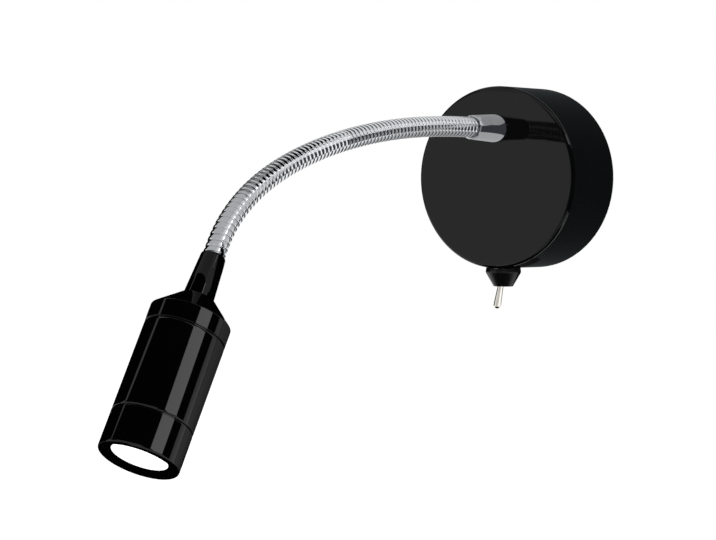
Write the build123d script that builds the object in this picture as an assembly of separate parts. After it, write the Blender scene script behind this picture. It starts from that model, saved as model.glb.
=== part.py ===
"""Bedside wall reading lamp: round wall box, gooseneck, turned lamp head and toggle switch.

Millimetres. The origin is the centre of the wall box's back face, on the wall.
+X is to the right seen from the room, -Y is out of the wall, +Z is up.
"""

from build123d import *
import math
import os

os.makedirs("parts", exist_ok=True)

# How far a cut runs past the face that it opens
CUT_PAST = 1.0

# Wall box. A depth is a distance out of the wall, along -Y.
DRUM_R = 40.0
DRUM_DEPTH = 34.0
DRUM_WALL = 2.0
DRUM_FACE = 2.5
DRUM_EDGE_ROUND = 1.5
DRUM_INNER_ROUND = 0.75
DRUM_INNER_R = DRUM_R - DRUM_WALL
FACE_BACK = DRUM_DEPTH - DRUM_FACE

# Wall bracket
PLATE_T = 1.5
PLATE_GAP = 0.5
PLATE_R = DRUM_INNER_R - PLATE_GAP
EAR_W = 14.0
EAR_T = 3.5
EAR_LENGTH = 13.0
EAR_GAP = 0.7
EAR_OUTER = math.sqrt((DRUM_INNER_R - EAR_GAP) ** 2 - (EAR_W / 2) ** 2)
SLOT_SPACING = 54.0
SLOT_W = 4.6
SLOT_LENGTH = 10.0

# Cover screws: socket grub screws, backed out of the ears into the cover
GRUB_DEPTH = 8.0
GRUB_R = 2.0
GRUB_LENGTH = 8.0
GRUB_SUNK = 0.3
GRUB_SOCKET_AF = 2.0
GRUB_SOCKET_DEPTH = 2.5
THREAD_GAP = 0.05
HOLE_GAP = 0.15

# Cable grommet
GROMMET_BORE_R = 4.0
GROMMET_NECK_R = 5.5
GROMMET_LIP_R = 6.3
GROMMET_FLANGE_R = 7.0
GROMMET_FLANGE_T = 1.7
GROMMET_LIP_T = 0.6
GROMMET_ROUND = 0.765
GROMMET_GAP = 0.1

# Small screws that hold the driver and the terminal block
SCREW_R = 1.5
SCREW_HEAD_R = 2.8
SCREW_HEAD_H = 2.0
SCREW_ROUND_SHARE = 0.4
SCREW_SHORT = 0.2
TAB_T = 2.0
TAB_W = 8.0
TAB_LENGTH = 7.0
TAB_ROOT = 1.0
DRIVE_W = 0.7
DRIVE_DEPTH = 0.8

# LED driver
DRIVER_W = 48.0
DRIVER_H = 20.0
DRIVER_T = 14.0
DRIVER_Z = 17.5
DRIVER_WALL = 1.2
DRIVER_ROUND = 0.96
BOARD_T = 1.6
BOARD_LIFT = 3.0
BOARD_LEDGE = 1.0
BOARD_GAP = 0.1
COIL_SIZE = (13.0, 11.0, 6.5)
COIL_X = 6.0
CAPACITOR_R = 3.2
CAPACITOR_LENGTH = 13.0
CAPACITOR_SEAT = 7.8
CAPACITOR_X = -10.0

# Terminal block, three poles
BLOCK_W = 32.0
BLOCK_H = 11.0
BLOCK_T = 12.5
BLOCK_Z = -20.5
POLE_PITCH = 10.0
POLES = 3
CLAMP_SIZE = (5.0, 9.0, 6.0)
CLAMP_DEPTH = 6.5
CLAMP_GAP = 0.1
CLAMP_SCREW_R = 1.5
CLAMP_SCREW_LENGTH = 5.5
CLAMP_SCREW_BITE = 1.2
WIRE_ENTRY_R = 1.5

# Earth tag and screw
EARTH_X = 26.0
EARTH_Z = -11.5
TAG_T = 0.8
TAG_R = 3.6
TAG_STRIP = 3.0
TAG_BARREL = 4.0
EARTH_SCREW_R = 1.9
EARTH_HEAD_R = 3.4
EARTH_HEAD_H = 2.2

# Toggle switch. Drops are distances down from the drum's axis.
TOGGLE_SETBACK = 7.5
TOGGLE_DEPTH = DRUM_DEPTH - TOGGLE_SETBACK
SWITCH_W = 13.2
SWITCH_B = 7.9
SWITCH_H = 9.4
FRAME_T = 0.4
FRAME_LEG_W = 7.92
FRAME_LEG_LENGTH = 6.58
SWITCH_BORE_STEP = 0.3
BUSHING_R = 3.0
BUSHING_LENGTH = 8.8
BUSHING_TAIL = 2.6
BACKING_NUT_WALL = 1.0
BACKING_NUT_AF = 2 * (BUSHING_R + BACKING_NUT_WALL)
BACKING_NUT_T = 1.8
BACKING_NUT_GAP = 0.12
WASHER_T = 0.5
WASHER_WALL = 3.0
WASHER_R = BUSHING_R + WASHER_WALL
CAP_NUT_R = 7.75
CAP_NUT_TIP_WALL = 1.2
CAP_NUT_TIP_R = BUSHING_R + CAP_NUT_TIP_WALL
CAP_NUT_H = 7.6
CAP_NUT_LAND = 2.0
CAP_NUT_ROUND = 2.5
CAP_NUT_EDGE = 0.6
TOGGLE_DIP = 1.0
LEVER_REACH = 17.3
LEVER_BALL_R = 2.3
LEVER_BALL_GAP = 0.1
BUSHING_BORE_R = LEVER_BALL_R + LEVER_BALL_GAP
LEVER_NECK_R = 1.3
LEVER_TIP_R = 1.65
LEVER_NECK_END = 7.785
LEVER_TIP_START = 14.705
LEVER_TIP_ROUND = 1.485
LEVER_TAIL_R = 1.1
LEVER_TAIL = 5.5
LEVER_TAIL_ROOM = 2.0
LEVER_LEAN = 11.0
PIN_R = 0.4
PIN_GAP = 0.05
PIN_SUNK = 0.3
TERMINAL_X = 4.7
TERMINAL_LENGTH = 4.0
TERMINAL_W = 2.2
TERMINAL_T = 0.8

# Neck
NECK_Z = 21.4
HOSE_R = 4.4
RIB_DEPTH = 0.45
HOSE_WALL = 2.0
HOSE_ROOT_R = HOSE_R - RIB_DEPTH
HOSE_BORE_R = HOSE_R - HOSE_WALL
RIB_PITCH = 2.555
RIBS_PER_LINK = 4
RIB_VALLEY = 1.4
RIB_FLANK = 0.45
LINKS = 19
FERRULE_RIBS = 7
COLLAR_RIBS = 3
FERRULE_LENGTH = 20.0
FERRULE_FIT = 0.1
FERRULE_WALL = 0.7
FERRULE_TAPER = 0.95
FERRULE_BORE_R = HOSE_R + FERRULE_FIT
FERRULE_MOUTH_R = FERRULE_BORE_R + FERRULE_WALL
FERRULE_FOOT_R = FERRULE_MOUTH_R + FERRULE_TAPER
FERRULE_FOOT_CHAMFER = 0.5
FERRULE_MOUTH_ROUND = 0.25
NECK_DROP = 59.5
NECK_EARLY_POWER = 1.235
NECK_LATE_POWER = 7.0
NECK_LATE_SHARE = 0.546

# Link joints: a hollow ball on each link's near end turns in a seat in the link before it
BALL_INSET = 0.4
BALL_GAP = 0.15
BALL_R = HOSE_ROOT_R - BALL_INSET
BALL_BACK = 2.0
SEAT_R = BALL_R + BALL_GAP
SEAT_RIM_DROP = 0.25
SEAT_RIM_INSET = 0.2
SEAT_RIM_R = HOSE_R - SEAT_RIM_INSET
SEAT_BORE_STEP = 0.2
SEAT_BORE_R = HOSE_BORE_R + SEAT_BORE_STEP

# Leads
WIRE_R = 0.9
NECK_LEAD_R = 1.3
LINER = 0.01

# Neck fittings
STUD_LEAD_GAP = 0.4
STUD_BORE_R = NECK_LEAD_R + STUD_LEAD_GAP
STUD_R = 3.9
STUD_FLANGE_LIP = 0.5
STUD_FLANGE_R = HOSE_R + STUD_FLANGE_LIP
STUD_FLANGE_T = 2.0
STUD_TAIL = 6.8
SPIGOT_STEP = 0.7
SPIGOT_R = HOSE_BORE_R + SPIGOT_STEP
SPIGOT_LENGTH = 7.0
SPIGOT_GAP = 0.1
NECK_WASHER_R = 7.0
NECK_WASHER_T = 0.8
NECK_NUT_AF = 11.0
NECK_NUT_T = 3.0
HEAD_STUD_R = 3.0
HEAD_STUD_PROUD = 0.5

# Lamp head. Runs are distances from the collar's mouth, along the head to its lens.
HEAD_R = 15.9
COLLAR_LENGTH = 18.3
COLLAR_WALL = 0.45
COLLAR_TAPER = 1.05
COLLAR_MOUTH_R = FERRULE_BORE_R + COLLAR_WALL
COLLAR_FOOT_R = COLLAR_MOUTH_R + COLLAR_TAPER
COLLAR_CHAMFER = 0.6
SHOULDER_LENGTH = 8.6
SHOULDER_STEP = 0.7
SHOULDER_TOP_R = COLLAR_FOOT_R + SHOULDER_STEP
SHOULDER_TOP_ROUND = 0.6
SHOULDER_EDGE_ROUND = 0.6
SHOULDER_INSET = 1.482
CAP_BARREL = 7.5
BODY_LENGTH = 36.4
BEZEL_LENGTH = 16.6
BEZEL_ROUND = 2.0
GROOVE_W = 0.7
GROOVE_DEPTH = 0.45
HEAD_WALL = 1.9
SKIRT_LENGTH = 5.0
SKIRT_WALL = 1.1
FITTING_FLANGE_T = 1.5
COLLAR_WEB = 3.5
LOCK_NUT_WALL = 1.45
LOCK_NUT_R = HEAD_STUD_R + LOCK_NUT_WALL
LOCK_NUT_T = 3.0
LOCK_SLOT_W = 1.0
COLLAR_BORE_R = LOCK_NUT_R + HOLE_GAP
BARREL_BORE_R = HEAD_R - HEAD_WALL
SKIRT_R = BARREL_BORE_R - THREAD_GAP
SKIRT_BORE_R = SKIRT_R - SKIRT_WALL

# Light source
LENS_RECESS = 2.4
LENS_GAP = 0.25
LENS_LIP = 1.5
LENS_R = SKIRT_BORE_R - LENS_GAP
LENS_SHOWN_R = LENS_R - LENS_LIP
LENS_T = 1.5
LENS_FLARE = 0.6
LENS_EDGE_ROUND = 0.3
REFLECTOR_GAP = 0.55
REFLECTOR_MOUTH_R = SKIRT_BORE_R - REFLECTOR_GAP
REFLECTOR_LIP = 1.0
REFLECTOR_THROAT_R = 4.2
REFLECTOR_T = 0.6
REFLECTOR_DEPTH = 9.0
LED_R = 3.0
LED_T = 1.4
LED_DOME = 1.26
LED_BOARD_GAP = 0.65
LED_BOARD_R = SKIRT_BORE_R - LED_BOARD_GAP
LED_BOARD_T = 1.6
SPREADER_LENGTH = 10.0
SPREADER_GAP = 0.1
BOARD_SCREW_INSET = 3.2
BOARD_SCREW_PITCH_R = LED_BOARD_R - BOARD_SCREW_INSET
BOARD_SCREW_R = 1.0
BOARD_SCREW_HEAD_R = 1.9
BOARD_SCREW_HEAD_H = 1.2
BOARD_SCREW_LENGTH = 5.0
BOARD_SLOT_DEPTH = 0.5


def place(origin, direction, right=(1, 0, 0)):
    """Plane at origin with its Z along direction and its X to the right."""
    return Plane(origin=origin, x_dir=right, z_dir=direction)


WALL = place((0, 0, 0), (0, -1, 0))
ON_FLOOR = (Align.CENTER, Align.CENTER, Align.MIN)


def turned(outline, where, rounds=()):
    """Solid turned about the place's Z from (radius, height) corners, some of them rounded."""
    face = make_face(Polyline(*outline, close=True))
    for corner, radius in rounds:
        spot = Vector(*outline[corner])
        near = face.vertices().sort_by_distance(spot)[0]
        face = fillet(near, radius)
    return where * revolve(Plane.XZ * face, Axis.Z)


def rod(where, radius, low, high):
    """Cylinder on the place's Z axis between two heights."""
    return where * Pos(0, 0, low) * Cylinder(radius, high - low, align=ON_FLOOR)


def tube(where, outer, inner, low, high):
    """Ring on the place's Z axis between two heights."""
    return rod(where, outer, low, high) - rod(where, inner, low - CUT_PAST, high + CUT_PAST)


def block(where, size, centre, low):
    """Box of a (width, height, thickness) size, centred on a point of the place, from a height up."""
    width, height, thickness = size
    spot = Pos(centre[0], centre[1], low)
    return where * spot * Box(width, height, thickness, align=ON_FLOOR)


def hexagon(where, across, low, high, turn=0.0):
    """Hexagonal prism on the place's Z axis, of a size across its flats."""
    sketch = RegularPolygon(across / math.sqrt(3), 6, rotation=turn)
    return where * Pos(0, 0, low) * extrude(sketch, high - low)


def at(where, x, y, z=0.0):
    """The place moved to a point given in its own axes."""
    return Plane(where.location * Location((x, y, z)))


def save(name, *solids):
    """Write one node, of one solid or of a group of separate ones."""
    shape = solids[0] if len(solids) == 1 else Compound(children=list(solids))
    export_step(shape, f"parts/{name}.step")


def pan_screw(where, radius, head_radius, head_height, reach):
    """Screw with a slotted round head above height 0 and its shank below."""
    head = turned(
        [(0, 0), (head_radius, 0), (head_radius, head_height), (0, head_height)],
        where,
        rounds=[(2, head_height * SCREW_ROUND_SHARE)],
    )
    size = (2 * head_radius + CUT_PAST, DRIVE_W, DRIVE_DEPTH + CUT_PAST)
    slot = block(where, size, (0, 0), head_height - DRIVE_DEPTH)
    return head + rod(where, radius, -reach, 0) - slot


# Neck route: one heading, in degrees below level, for each link
def neck_heading(link):
    """Heading of a link: it drops gently at first and turns down hard near the head."""
    along = link / (LINKS - 1)
    early = (1 - NECK_LATE_SHARE) * along**NECK_EARLY_POWER
    late = NECK_LATE_SHARE * along**NECK_LATE_POWER
    return NECK_DROP * (early + late)


def neck_direction(link):
    """Unit vector along a link, away from the wall box."""
    angle = math.radians(neck_heading(link))
    return Vector(0, -math.cos(angle), -math.sin(angle))


LINK_LENGTH = RIB_PITCH * RIBS_PER_LINK
FACE_CENTRE = Vector(0, -DRUM_DEPTH, NECK_Z)
LINK_STARTS = [FACE_CENTRE + neck_direction(0) * FERRULE_LENGTH]
for number in range(LINKS):
    LINK_STARTS.append(LINK_STARTS[-1] + neck_direction(number) * LINK_LENGTH)
NECK_ROOT = place(FACE_CENTRE, neck_direction(0))
HEAD = place(LINK_STARTS[-1], neck_direction(LINKS - 1))


def base_cover():
    """Drum-shaped cover, closed at the front."""
    outline = [
        (DRUM_INNER_R, 0),
        (DRUM_R, 0),
        (DRUM_R, DRUM_DEPTH),
        (0, DRUM_DEPTH),
        (0, FACE_BACK),
        (DRUM_INNER_R, FACE_BACK),
    ]
    shell = turned(outline, WALL, rounds=[(2, DRUM_EDGE_ROUND), (5, DRUM_INNER_ROUND)])
    stud_hole = rod(NECK_ROOT, STUD_R + HOLE_GAP, -DRUM_FACE - CUT_PAST, CUT_PAST)
    down = place((0, -TOGGLE_DEPTH, 0), (0, 0, -1))
    toggle_hole = rod(down, BUSHING_R + HOLE_GAP, DRUM_INNER_R - CUT_PAST, DRUM_R + CUT_PAST)
    shell = shell - stud_hole - toggle_hole
    for way in (1, -1):
        out = place((0, -GRUB_DEPTH, 0), (0, 0, way))
        shell -= rod(out, GRUB_R + HOLE_GAP, DRUM_INNER_R - CUT_PAST, DRUM_R + CUT_PAST)
    return shell


def tab_spots(half_width, z):
    """Centres of the two fixing tabs of a module, left and right."""
    return [(way * (half_width + TAB_LENGTH / 2), z) for way in (-1, 1)]


def module_screw_spots():
    """Places of the four screws that hold the driver and the terminal block."""
    return tab_spots(DRIVER_W / 2, DRIVER_Z) + tab_spots(BLOCK_W / 2, BLOCK_Z)


def wall_bracket():
    """Steel plate on the wall with two bent ears, two slots and the cable hole."""
    plate = rod(WALL, PLATE_R, 0, PLATE_T)
    trim = block(WALL, (2 * PLATE_R, 2 * EAR_OUTER, PLATE_T), (0, 0), 0)
    bracket = plate & trim
    for way in (1, -1):
        middle = way * (EAR_OUTER - EAR_T / 2)
        bracket += block(WALL, (EAR_W, EAR_T, EAR_LENGTH), (0, middle), 0)
    for way in (1, -1):
        out = place((0, -GRUB_DEPTH, 0), (0, 0, way))
        bracket -= rod(out, GRUB_R + THREAD_GAP, EAR_OUTER - EAR_T - CUT_PAST, EAR_OUTER + CUT_PAST)
        slot = SlotOverall(SLOT_LENGTH, SLOT_W)
        bracket -= WALL * Pos(way * SLOT_SPACING / 2, 0, -CUT_PAST) * extrude(slot, PLATE_T + 2 * CUT_PAST)
    bracket -= rod(WALL, GROMMET_NECK_R + GROMMET_GAP, -CUT_PAST, PLATE_T + CUT_PAST)
    bracket -= rod(WALL, GROMMET_LIP_R + GROMMET_GAP, -CUT_PAST, GROMMET_LIP_T)
    for x, z in module_screw_spots():
        bracket -= rod(at(WALL, x, z), SCREW_R + THREAD_GAP, -CUT_PAST, PLATE_T + CUT_PAST)
    earth = at(WALL, EARTH_X, EARTH_Z)
    return bracket - rod(earth, EARTH_SCREW_R + THREAD_GAP, -CUT_PAST, PLATE_T + CUT_PAST)


def cable_grommet():
    """Rubber bush that lines the plate's cable hole."""
    top = PLATE_T + GROMMET_FLANGE_T
    outline = [
        (GROMMET_BORE_R, 0),
        (GROMMET_LIP_R, 0),
        (GROMMET_LIP_R, GROMMET_LIP_T),
        (GROMMET_NECK_R, GROMMET_LIP_T),
        (GROMMET_NECK_R, PLATE_T),
        (GROMMET_FLANGE_R, PLATE_T),
        (GROMMET_FLANGE_R, top),
        (GROMMET_BORE_R, top),
    ]
    return turned(outline, WALL, rounds=[(6, GROMMET_ROUND)])


def cover_screws():
    """Two socket grub screws, in the ears and up into the cover."""
    screws = []
    for way in (1, -1):
        out = place((0, -GRUB_DEPTH, 0), (0, 0, way))
        end = DRUM_R - GRUB_SUNK
        socket = hexagon(out, GRUB_SOCKET_AF, end - GRUB_SOCKET_DEPTH, end + CUT_PAST)
        screws.append(rod(out, GRUB_R, end - GRUB_LENGTH, end) - socket)
    return screws


def fixing_tabs(half_width, z, overlap):
    """Two drilled tabs that reach out of a module's ends."""
    tabs = []
    for way in (-1, 1):
        middle = way * (half_width + (TAB_LENGTH - overlap) / 2)
        tab = block(WALL, (TAB_LENGTH + overlap, TAB_W, TAB_T), (middle, z), PLATE_T)
        x = way * (half_width + TAB_LENGTH / 2)
        tabs.append(tab - rod(at(WALL, x, z), SCREW_R + HOLE_GAP, 0, PLATE_T + TAB_T + CUT_PAST))
    return tabs


def driver_case():
    """Moulded case of the LED driver, open towards the plate, with a ledge for its board."""
    size = (DRIVER_W, DRIVER_H, DRIVER_T)
    case = block(WALL, size, (0, DRIVER_Z), PLATE_T)
    edges = case.edges().filter_by(Axis.Y)
    case = fillet(edges, DRIVER_ROUND)
    roof = PLATE_T + DRIVER_T - DRIVER_WALL
    ledge = PLATE_T + BOARD_LIFT + BOARD_T
    wide = (DRIVER_W - 2 * DRIVER_WALL, DRIVER_H - 2 * DRIVER_WALL)
    narrow = [side - 2 * BOARD_LEDGE for side in wide]
    case -= block(WALL, (*wide, ledge - PLATE_T + CUT_PAST), (0, DRIVER_Z), PLATE_T - CUT_PAST)
    case -= block(WALL, (*narrow, roof - ledge + CUT_PAST), (0, DRIVER_Z), ledge - CUT_PAST)
    for tab in fixing_tabs(DRIVER_W / 2, DRIVER_Z, DRIVER_WALL):
        case += tab
    return case


def driver_board():
    """Driver board with its coil and capacitor soldered on."""
    low = PLATE_T + BOARD_LIFT
    width = DRIVER_W - 2 * DRIVER_WALL - 2 * BOARD_GAP
    height = DRIVER_H - 2 * DRIVER_WALL - 2 * BOARD_GAP
    board = block(WALL, (width, height, BOARD_T), (0, DRIVER_Z), low)
    top = low + BOARD_T
    board += block(WALL, COIL_SIZE, (COIL_X, DRIVER_Z), top)
    lying = Plane(origin=(CAPACITOR_X, -top - CAPACITOR_R, DRIVER_Z), x_dir=(0, 1, 0), z_dir=(1, 0, 0))
    can = rod(lying, CAPACITOR_R, -CAPACITOR_LENGTH / 2, CAPACITOR_LENGTH / 2)
    seat = block(WALL, (CAPACITOR_SEAT, CAPACITOR_R, CAPACITOR_R), (CAPACITOR_X, DRIVER_Z), top)
    return board + can + seat


def module_screws():
    """Four alike screws through the tabs of the driver and the terminal block."""
    screws = []
    reach = PLATE_T + TAB_T - SCREW_SHORT
    for x, z in module_screw_spots():
        seat = at(WALL, x, z, PLATE_T + TAB_T)
        screws.append(pan_screw(seat, SCREW_R, SCREW_HEAD_R, SCREW_HEAD_H, reach))
    return screws


def pole_spots():
    """Places of the terminal block's poles, from live on the left to earth on the right."""
    first = -POLE_PITCH * (POLES - 1) / 2
    return [first + POLE_PITCH * pole for pole in range(POLES)]


def terminal_block():
    """Moulded block with a pocket, a wire way and a screw well for each pole."""
    body = block(WALL, (BLOCK_W, BLOCK_H, BLOCK_T), (0, BLOCK_Z), PLATE_T)
    width, height, thickness = (side + 2 * CLAMP_GAP for side in CLAMP_SIZE)
    for x in pole_spots():
        low = CLAMP_DEPTH - thickness / 2
        body -= block(WALL, (width, height, thickness), (x, BLOCK_Z), low)
        well = at(WALL, x, BLOCK_Z)
        body -= rod(well, CLAMP_SCREW_R + 2 * HOLE_GAP, low, PLATE_T + BLOCK_T + CUT_PAST)
        way = place((x, -CLAMP_DEPTH, BLOCK_Z), (0, 0, 1))
        body -= rod(way, WIRE_ENTRY_R, -BLOCK_H, BLOCK_H)
    for tab in fixing_tabs(BLOCK_W / 2, BLOCK_Z, TAB_ROOT):
        body += tab
    return body


def terminal_clamps():
    """Brass clamps, bored for the wires and tapped for their screws."""
    clamps = []
    for x in pole_spots():
        low = CLAMP_DEPTH - CLAMP_SIZE[2] / 2
        clamp = block(WALL, CLAMP_SIZE, (x, BLOCK_Z), low)
        way = place((x, -CLAMP_DEPTH, BLOCK_Z), (0, 0, 1))
        clamp -= rod(way, WIRE_ENTRY_R, -BLOCK_H, BLOCK_H)
        well = at(WALL, x, BLOCK_Z)
        clamp -= rod(well, CLAMP_SCREW_R + THREAD_GAP, CLAMP_DEPTH, CLAMP_DEPTH + CLAMP_SIZE[2])
        clamps.append(clamp)
    return clamps


def terminal_screws():
    """Slotted clamp screws, run down onto the wires' height."""
    screws = []
    low = CLAMP_DEPTH + CLAMP_SCREW_BITE
    high = low + CLAMP_SCREW_LENGTH
    size = (2 * CLAMP_SCREW_R + CUT_PAST, DRIVE_W, DRIVE_DEPTH + CUT_PAST)
    for x in pole_spots():
        seat = at(WALL, x, BLOCK_Z)
        slot = block(seat, size, (0, 0), high - DRIVE_DEPTH)
        screws.append(rod(seat, CLAMP_SCREW_R, low, high) - slot)
    return screws


def earth_tag():
    """Ring tag under the earth screw, with a turned-up barrel for the lead."""
    spot = at(WALL, EARTH_X, EARTH_Z)
    ring = rod(spot, TAG_R, PLATE_T, PLATE_T + TAG_T)
    barrel_depth = PLATE_T + WIRE_R + TAG_T
    down = place((EARTH_X, -barrel_depth, EARTH_Z - TAG_R), (0, 0, -1))
    strip = block(spot, (2 * WIRE_R, TAG_STRIP, TAG_T), (0, -TAG_R), PLATE_T)
    barrel = tube(down, WIRE_R + TAG_T, WIRE_R, 0, TAG_BARREL)
    return ring + strip + barrel - rod(spot, EARTH_SCREW_R + HOLE_GAP, 0, PLATE_T + 2 * TAG_T)


def earth_screw():
    """Earth screw, down through the tag into the plate."""
    seat = at(WALL, EARTH_X, EARTH_Z, PLATE_T + TAG_T)
    reach = PLATE_T + TAG_T - SCREW_SHORT
    return pan_screw(seat, EARTH_SCREW_R, EARTH_HEAD_R, EARTH_HEAD_H, reach)


# Toggle switch places. Its axis runs straight down through the drum's wall.
DOWN = place((0, -TOGGLE_DEPTH, 0), (0, 0, -1))
BUSHING_FOOT = DRUM_INNER_R - BUSHING_TAIL
BUSHING_END = BUSHING_FOOT + BUSHING_LENGTH
PIVOT_DROP = DRUM_R + TOGGLE_DIP
PIVOT = Vector(0, -TOGGLE_DEPTH, -PIVOT_DROP)
LEVER_WAY = Vector(-math.sin(math.radians(LEVER_LEAN)), 0, -math.cos(math.radians(LEVER_LEAN)))


def switch_body():
    """Moulded switch body with room for the lever's tail."""
    top = BUSHING_FOOT - FRAME_T
    body = block(DOWN, (SWITCH_W, SWITCH_B, SWITCH_H), (0, 0), top - SWITCH_H)
    depth = PIVOT_DROP - LEVER_TAIL - LEVER_TAIL_ROOM
    return body - rod(DOWN, BUSHING_BORE_R + SWITCH_BORE_STEP, depth, top + CUT_PAST)


def switch_frame():
    """Sheet-metal bridge over the switch body, with a leg down each long side."""
    top = BUSHING_FOOT
    frame = block(DOWN, (SWITCH_W, SWITCH_B + 2 * FRAME_T, FRAME_T), (0, 0), top - FRAME_T)
    frame -= rod(DOWN, BUSHING_BORE_R, top - CUT_PAST, top + CUT_PAST)
    size = (FRAME_LEG_W, FRAME_T, FRAME_LEG_LENGTH)
    for way in (1, -1):
        middle = way * (SWITCH_B + FRAME_T) / 2
        frame += block(DOWN, size, (0, middle), top - FRAME_LEG_LENGTH)
    return frame


def toggle_bushing():
    """Threaded bushing that carries the lever's pivot."""
    bushing = tube(DOWN, BUSHING_R, BUSHING_BORE_R, BUSHING_FOOT, BUSHING_END)
    across = place(PIVOT, (0, 1, 0))
    return bushing - rod(across, PIN_R, -BUSHING_R, BUSHING_R)


def toggle_pin():
    """Pivot pin across the bushing."""
    across = place(PIVOT, (0, 1, 0))
    reach = BUSHING_R - PIN_SUNK
    return rod(across, PIN_R, -reach, reach)


def backing_nut():
    """Hexagon nut between the switch and the drum's wall."""
    corner = BACKING_NUT_AF / math.sqrt(3)
    wall = math.sqrt(DRUM_INNER_R**2 - corner**2)
    high = wall - BACKING_NUT_GAP
    nut = hexagon(DOWN, BACKING_NUT_AF, high - BACKING_NUT_T, high)
    return nut - rod(DOWN, BUSHING_R + THREAD_GAP, high - BACKING_NUT_T - CUT_PAST, high + CUT_PAST)


def toggle_washer():
    """Flat washer between the drum and the cap nut."""
    return tube(DOWN, WASHER_R, BUSHING_R + THREAD_GAP, DRUM_R, DRUM_R + WASHER_T)


def toggle_cap_nut():
    """Cone-shaped dress nut that the lever comes out of."""
    low = DRUM_R + WASHER_T
    high = low + CAP_NUT_H
    bore = BUSHING_R + THREAD_GAP
    outline = [
        (bore, low),
        (CAP_NUT_R, low),
        (CAP_NUT_R, low + CAP_NUT_LAND),
        (CAP_NUT_TIP_R, high),
        (bore, high),
    ]
    return turned(outline, DOWN, rounds=[(1, CAP_NUT_EDGE), (2, CAP_NUT_ROUND), (3, CAP_NUT_EDGE / 2)])


def toggle_lever():
    """Lever: ball on the pivot pin, tapered stem with a rounded tip, short tail inside."""
    where = place(PIVOT, LEVER_WAY, right=(0, 1, 0))
    outline = [
        (0, 0),
        (LEVER_NECK_R, 0),
        (LEVER_NECK_R, LEVER_NECK_END),
        (LEVER_TIP_R, LEVER_TIP_START),
        (LEVER_TIP_R, LEVER_REACH),
        (0, LEVER_REACH),
    ]
    stem = turned(outline, where, rounds=[(4, LEVER_TIP_ROUND)])
    ball = where * Sphere(LEVER_BALL_R)
    lever = stem + ball + rod(where, LEVER_TAIL_R, -LEVER_TAIL, 0)
    across = place(PIVOT, (0, 1, 0))
    return lever - rod(across, PIN_R + PIN_GAP, -BUSHING_R, BUSHING_R)


TERMINAL_TOP = BUSHING_FOOT - FRAME_T - SWITCH_H - TERMINAL_LENGTH


def switch_terminals():
    """Two solder tags on the back of the switch."""
    size = (TERMINAL_W, TERMINAL_T, TERMINAL_LENGTH)
    return [block(DOWN, size, (way * TERMINAL_X, 0), TERMINAL_TOP) for way in (-1, 1)]


def neck_stud():
    """Hollow stud: thread through the drum's face, flange outside it, spigot in the hose."""
    tip = STUD_FLANGE_T + SPIGOT_LENGTH
    outline = [
        (STUD_BORE_R, -STUD_TAIL),
        (STUD_R, -STUD_TAIL),
        (STUD_R, 0),
        (STUD_FLANGE_R, 0),
        (STUD_FLANGE_R, STUD_FLANGE_T),
        (SPIGOT_R, STUD_FLANGE_T),
        (SPIGOT_R, tip),
        (STUD_BORE_R, tip),
    ]
    return turned(outline, NECK_ROOT)


def neck_washer():
    """Flat washer behind the drum's face."""
    return tube(NECK_ROOT, NECK_WASHER_R, STUD_R + HOLE_GAP, -DRUM_FACE - NECK_WASHER_T, -DRUM_FACE)


def neck_nut():
    """Nut that pulls the stud's flange onto the face."""
    high = -DRUM_FACE - NECK_WASHER_T
    nut = hexagon(NECK_ROOT, NECK_NUT_AF, high - NECK_NUT_T, high)
    return nut - rod(NECK_ROOT, STUD_R + THREAD_GAP, high - NECK_NUT_T - CUT_PAST, high + CUT_PAST)


def neck_ferrule():
    """Tapered chrome cup over the foot of the neck."""
    step = STUD_FLANGE_T + FERRULE_FIT
    foot = FERRULE_FOOT_R - FERRULE_FOOT_CHAMFER
    outline = [
        (STUD_FLANGE_R + FERRULE_FIT, 0),
        (foot, 0),
        (FERRULE_FOOT_R, FERRULE_FOOT_CHAMFER),
        (FERRULE_MOUTH_R, FERRULE_LENGTH),
        (FERRULE_BORE_R, FERRULE_LENGTH),
        (FERRULE_BORE_R, step),
        (STUD_FLANGE_R + FERRULE_FIT, step),
    ]
    return turned(outline, NECK_ROOT, rounds=[(3, FERRULE_MOUTH_ROUND)])


def ring_at(where, radius, height):
    """Circle about the place's Z axis, with its X axis kept steady."""
    return where * Pos(0, 0, height) * Circle(radius)


def ribbed_tube(where, first_rib, ribs, seat):
    """Ribbed outside of a hose: for each rib a crest end, a valley floor and a crest start."""
    rings = []
    last = first_rib + ribs
    for rib in range(first_rib, last):
        foot = rib * RIB_PITCH
        if rib > first_rib:
            rings.append(ring_at(where, HOSE_R, foot))
            rings.append(ring_at(where, HOSE_ROOT_R, foot + RIB_FLANK))
            rings.append(ring_at(where, HOSE_ROOT_R, foot + RIB_VALLEY - RIB_FLANK))
        rings.append(ring_at(where, HOSE_R, foot + RIB_VALLEY))
    end = last * RIB_PITCH
    if seat:
        rings.append(ring_at(where, HOSE_R, end - SEAT_RIM_DROP))
        rings.append(ring_at(where, SEAT_RIM_R, end))
    else:
        rings.append(ring_at(where, HOSE_R, end))
    return loft(rings, ruled=True)


def ball_end(where):
    """Ball about the link's start, cut off behind and run into the first rib ahead."""
    ball = where * Sphere(BALL_R)
    keep = rod(where, BALL_R + CUT_PAST, -BALL_BACK, RIB_VALLEY)
    return ball & keep


def ball_seat(where):
    """Hollow for the next link's ball, with the bore behind it opened out."""
    hollow = where * Pos(0, 0, LINK_LENGTH) * Sphere(SEAT_R)
    return hollow + rod(where, SEAT_BORE_R, LINK_LENGTH - SEAT_R - CUT_PAST, LINK_LENGTH + CUT_PAST)


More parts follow.
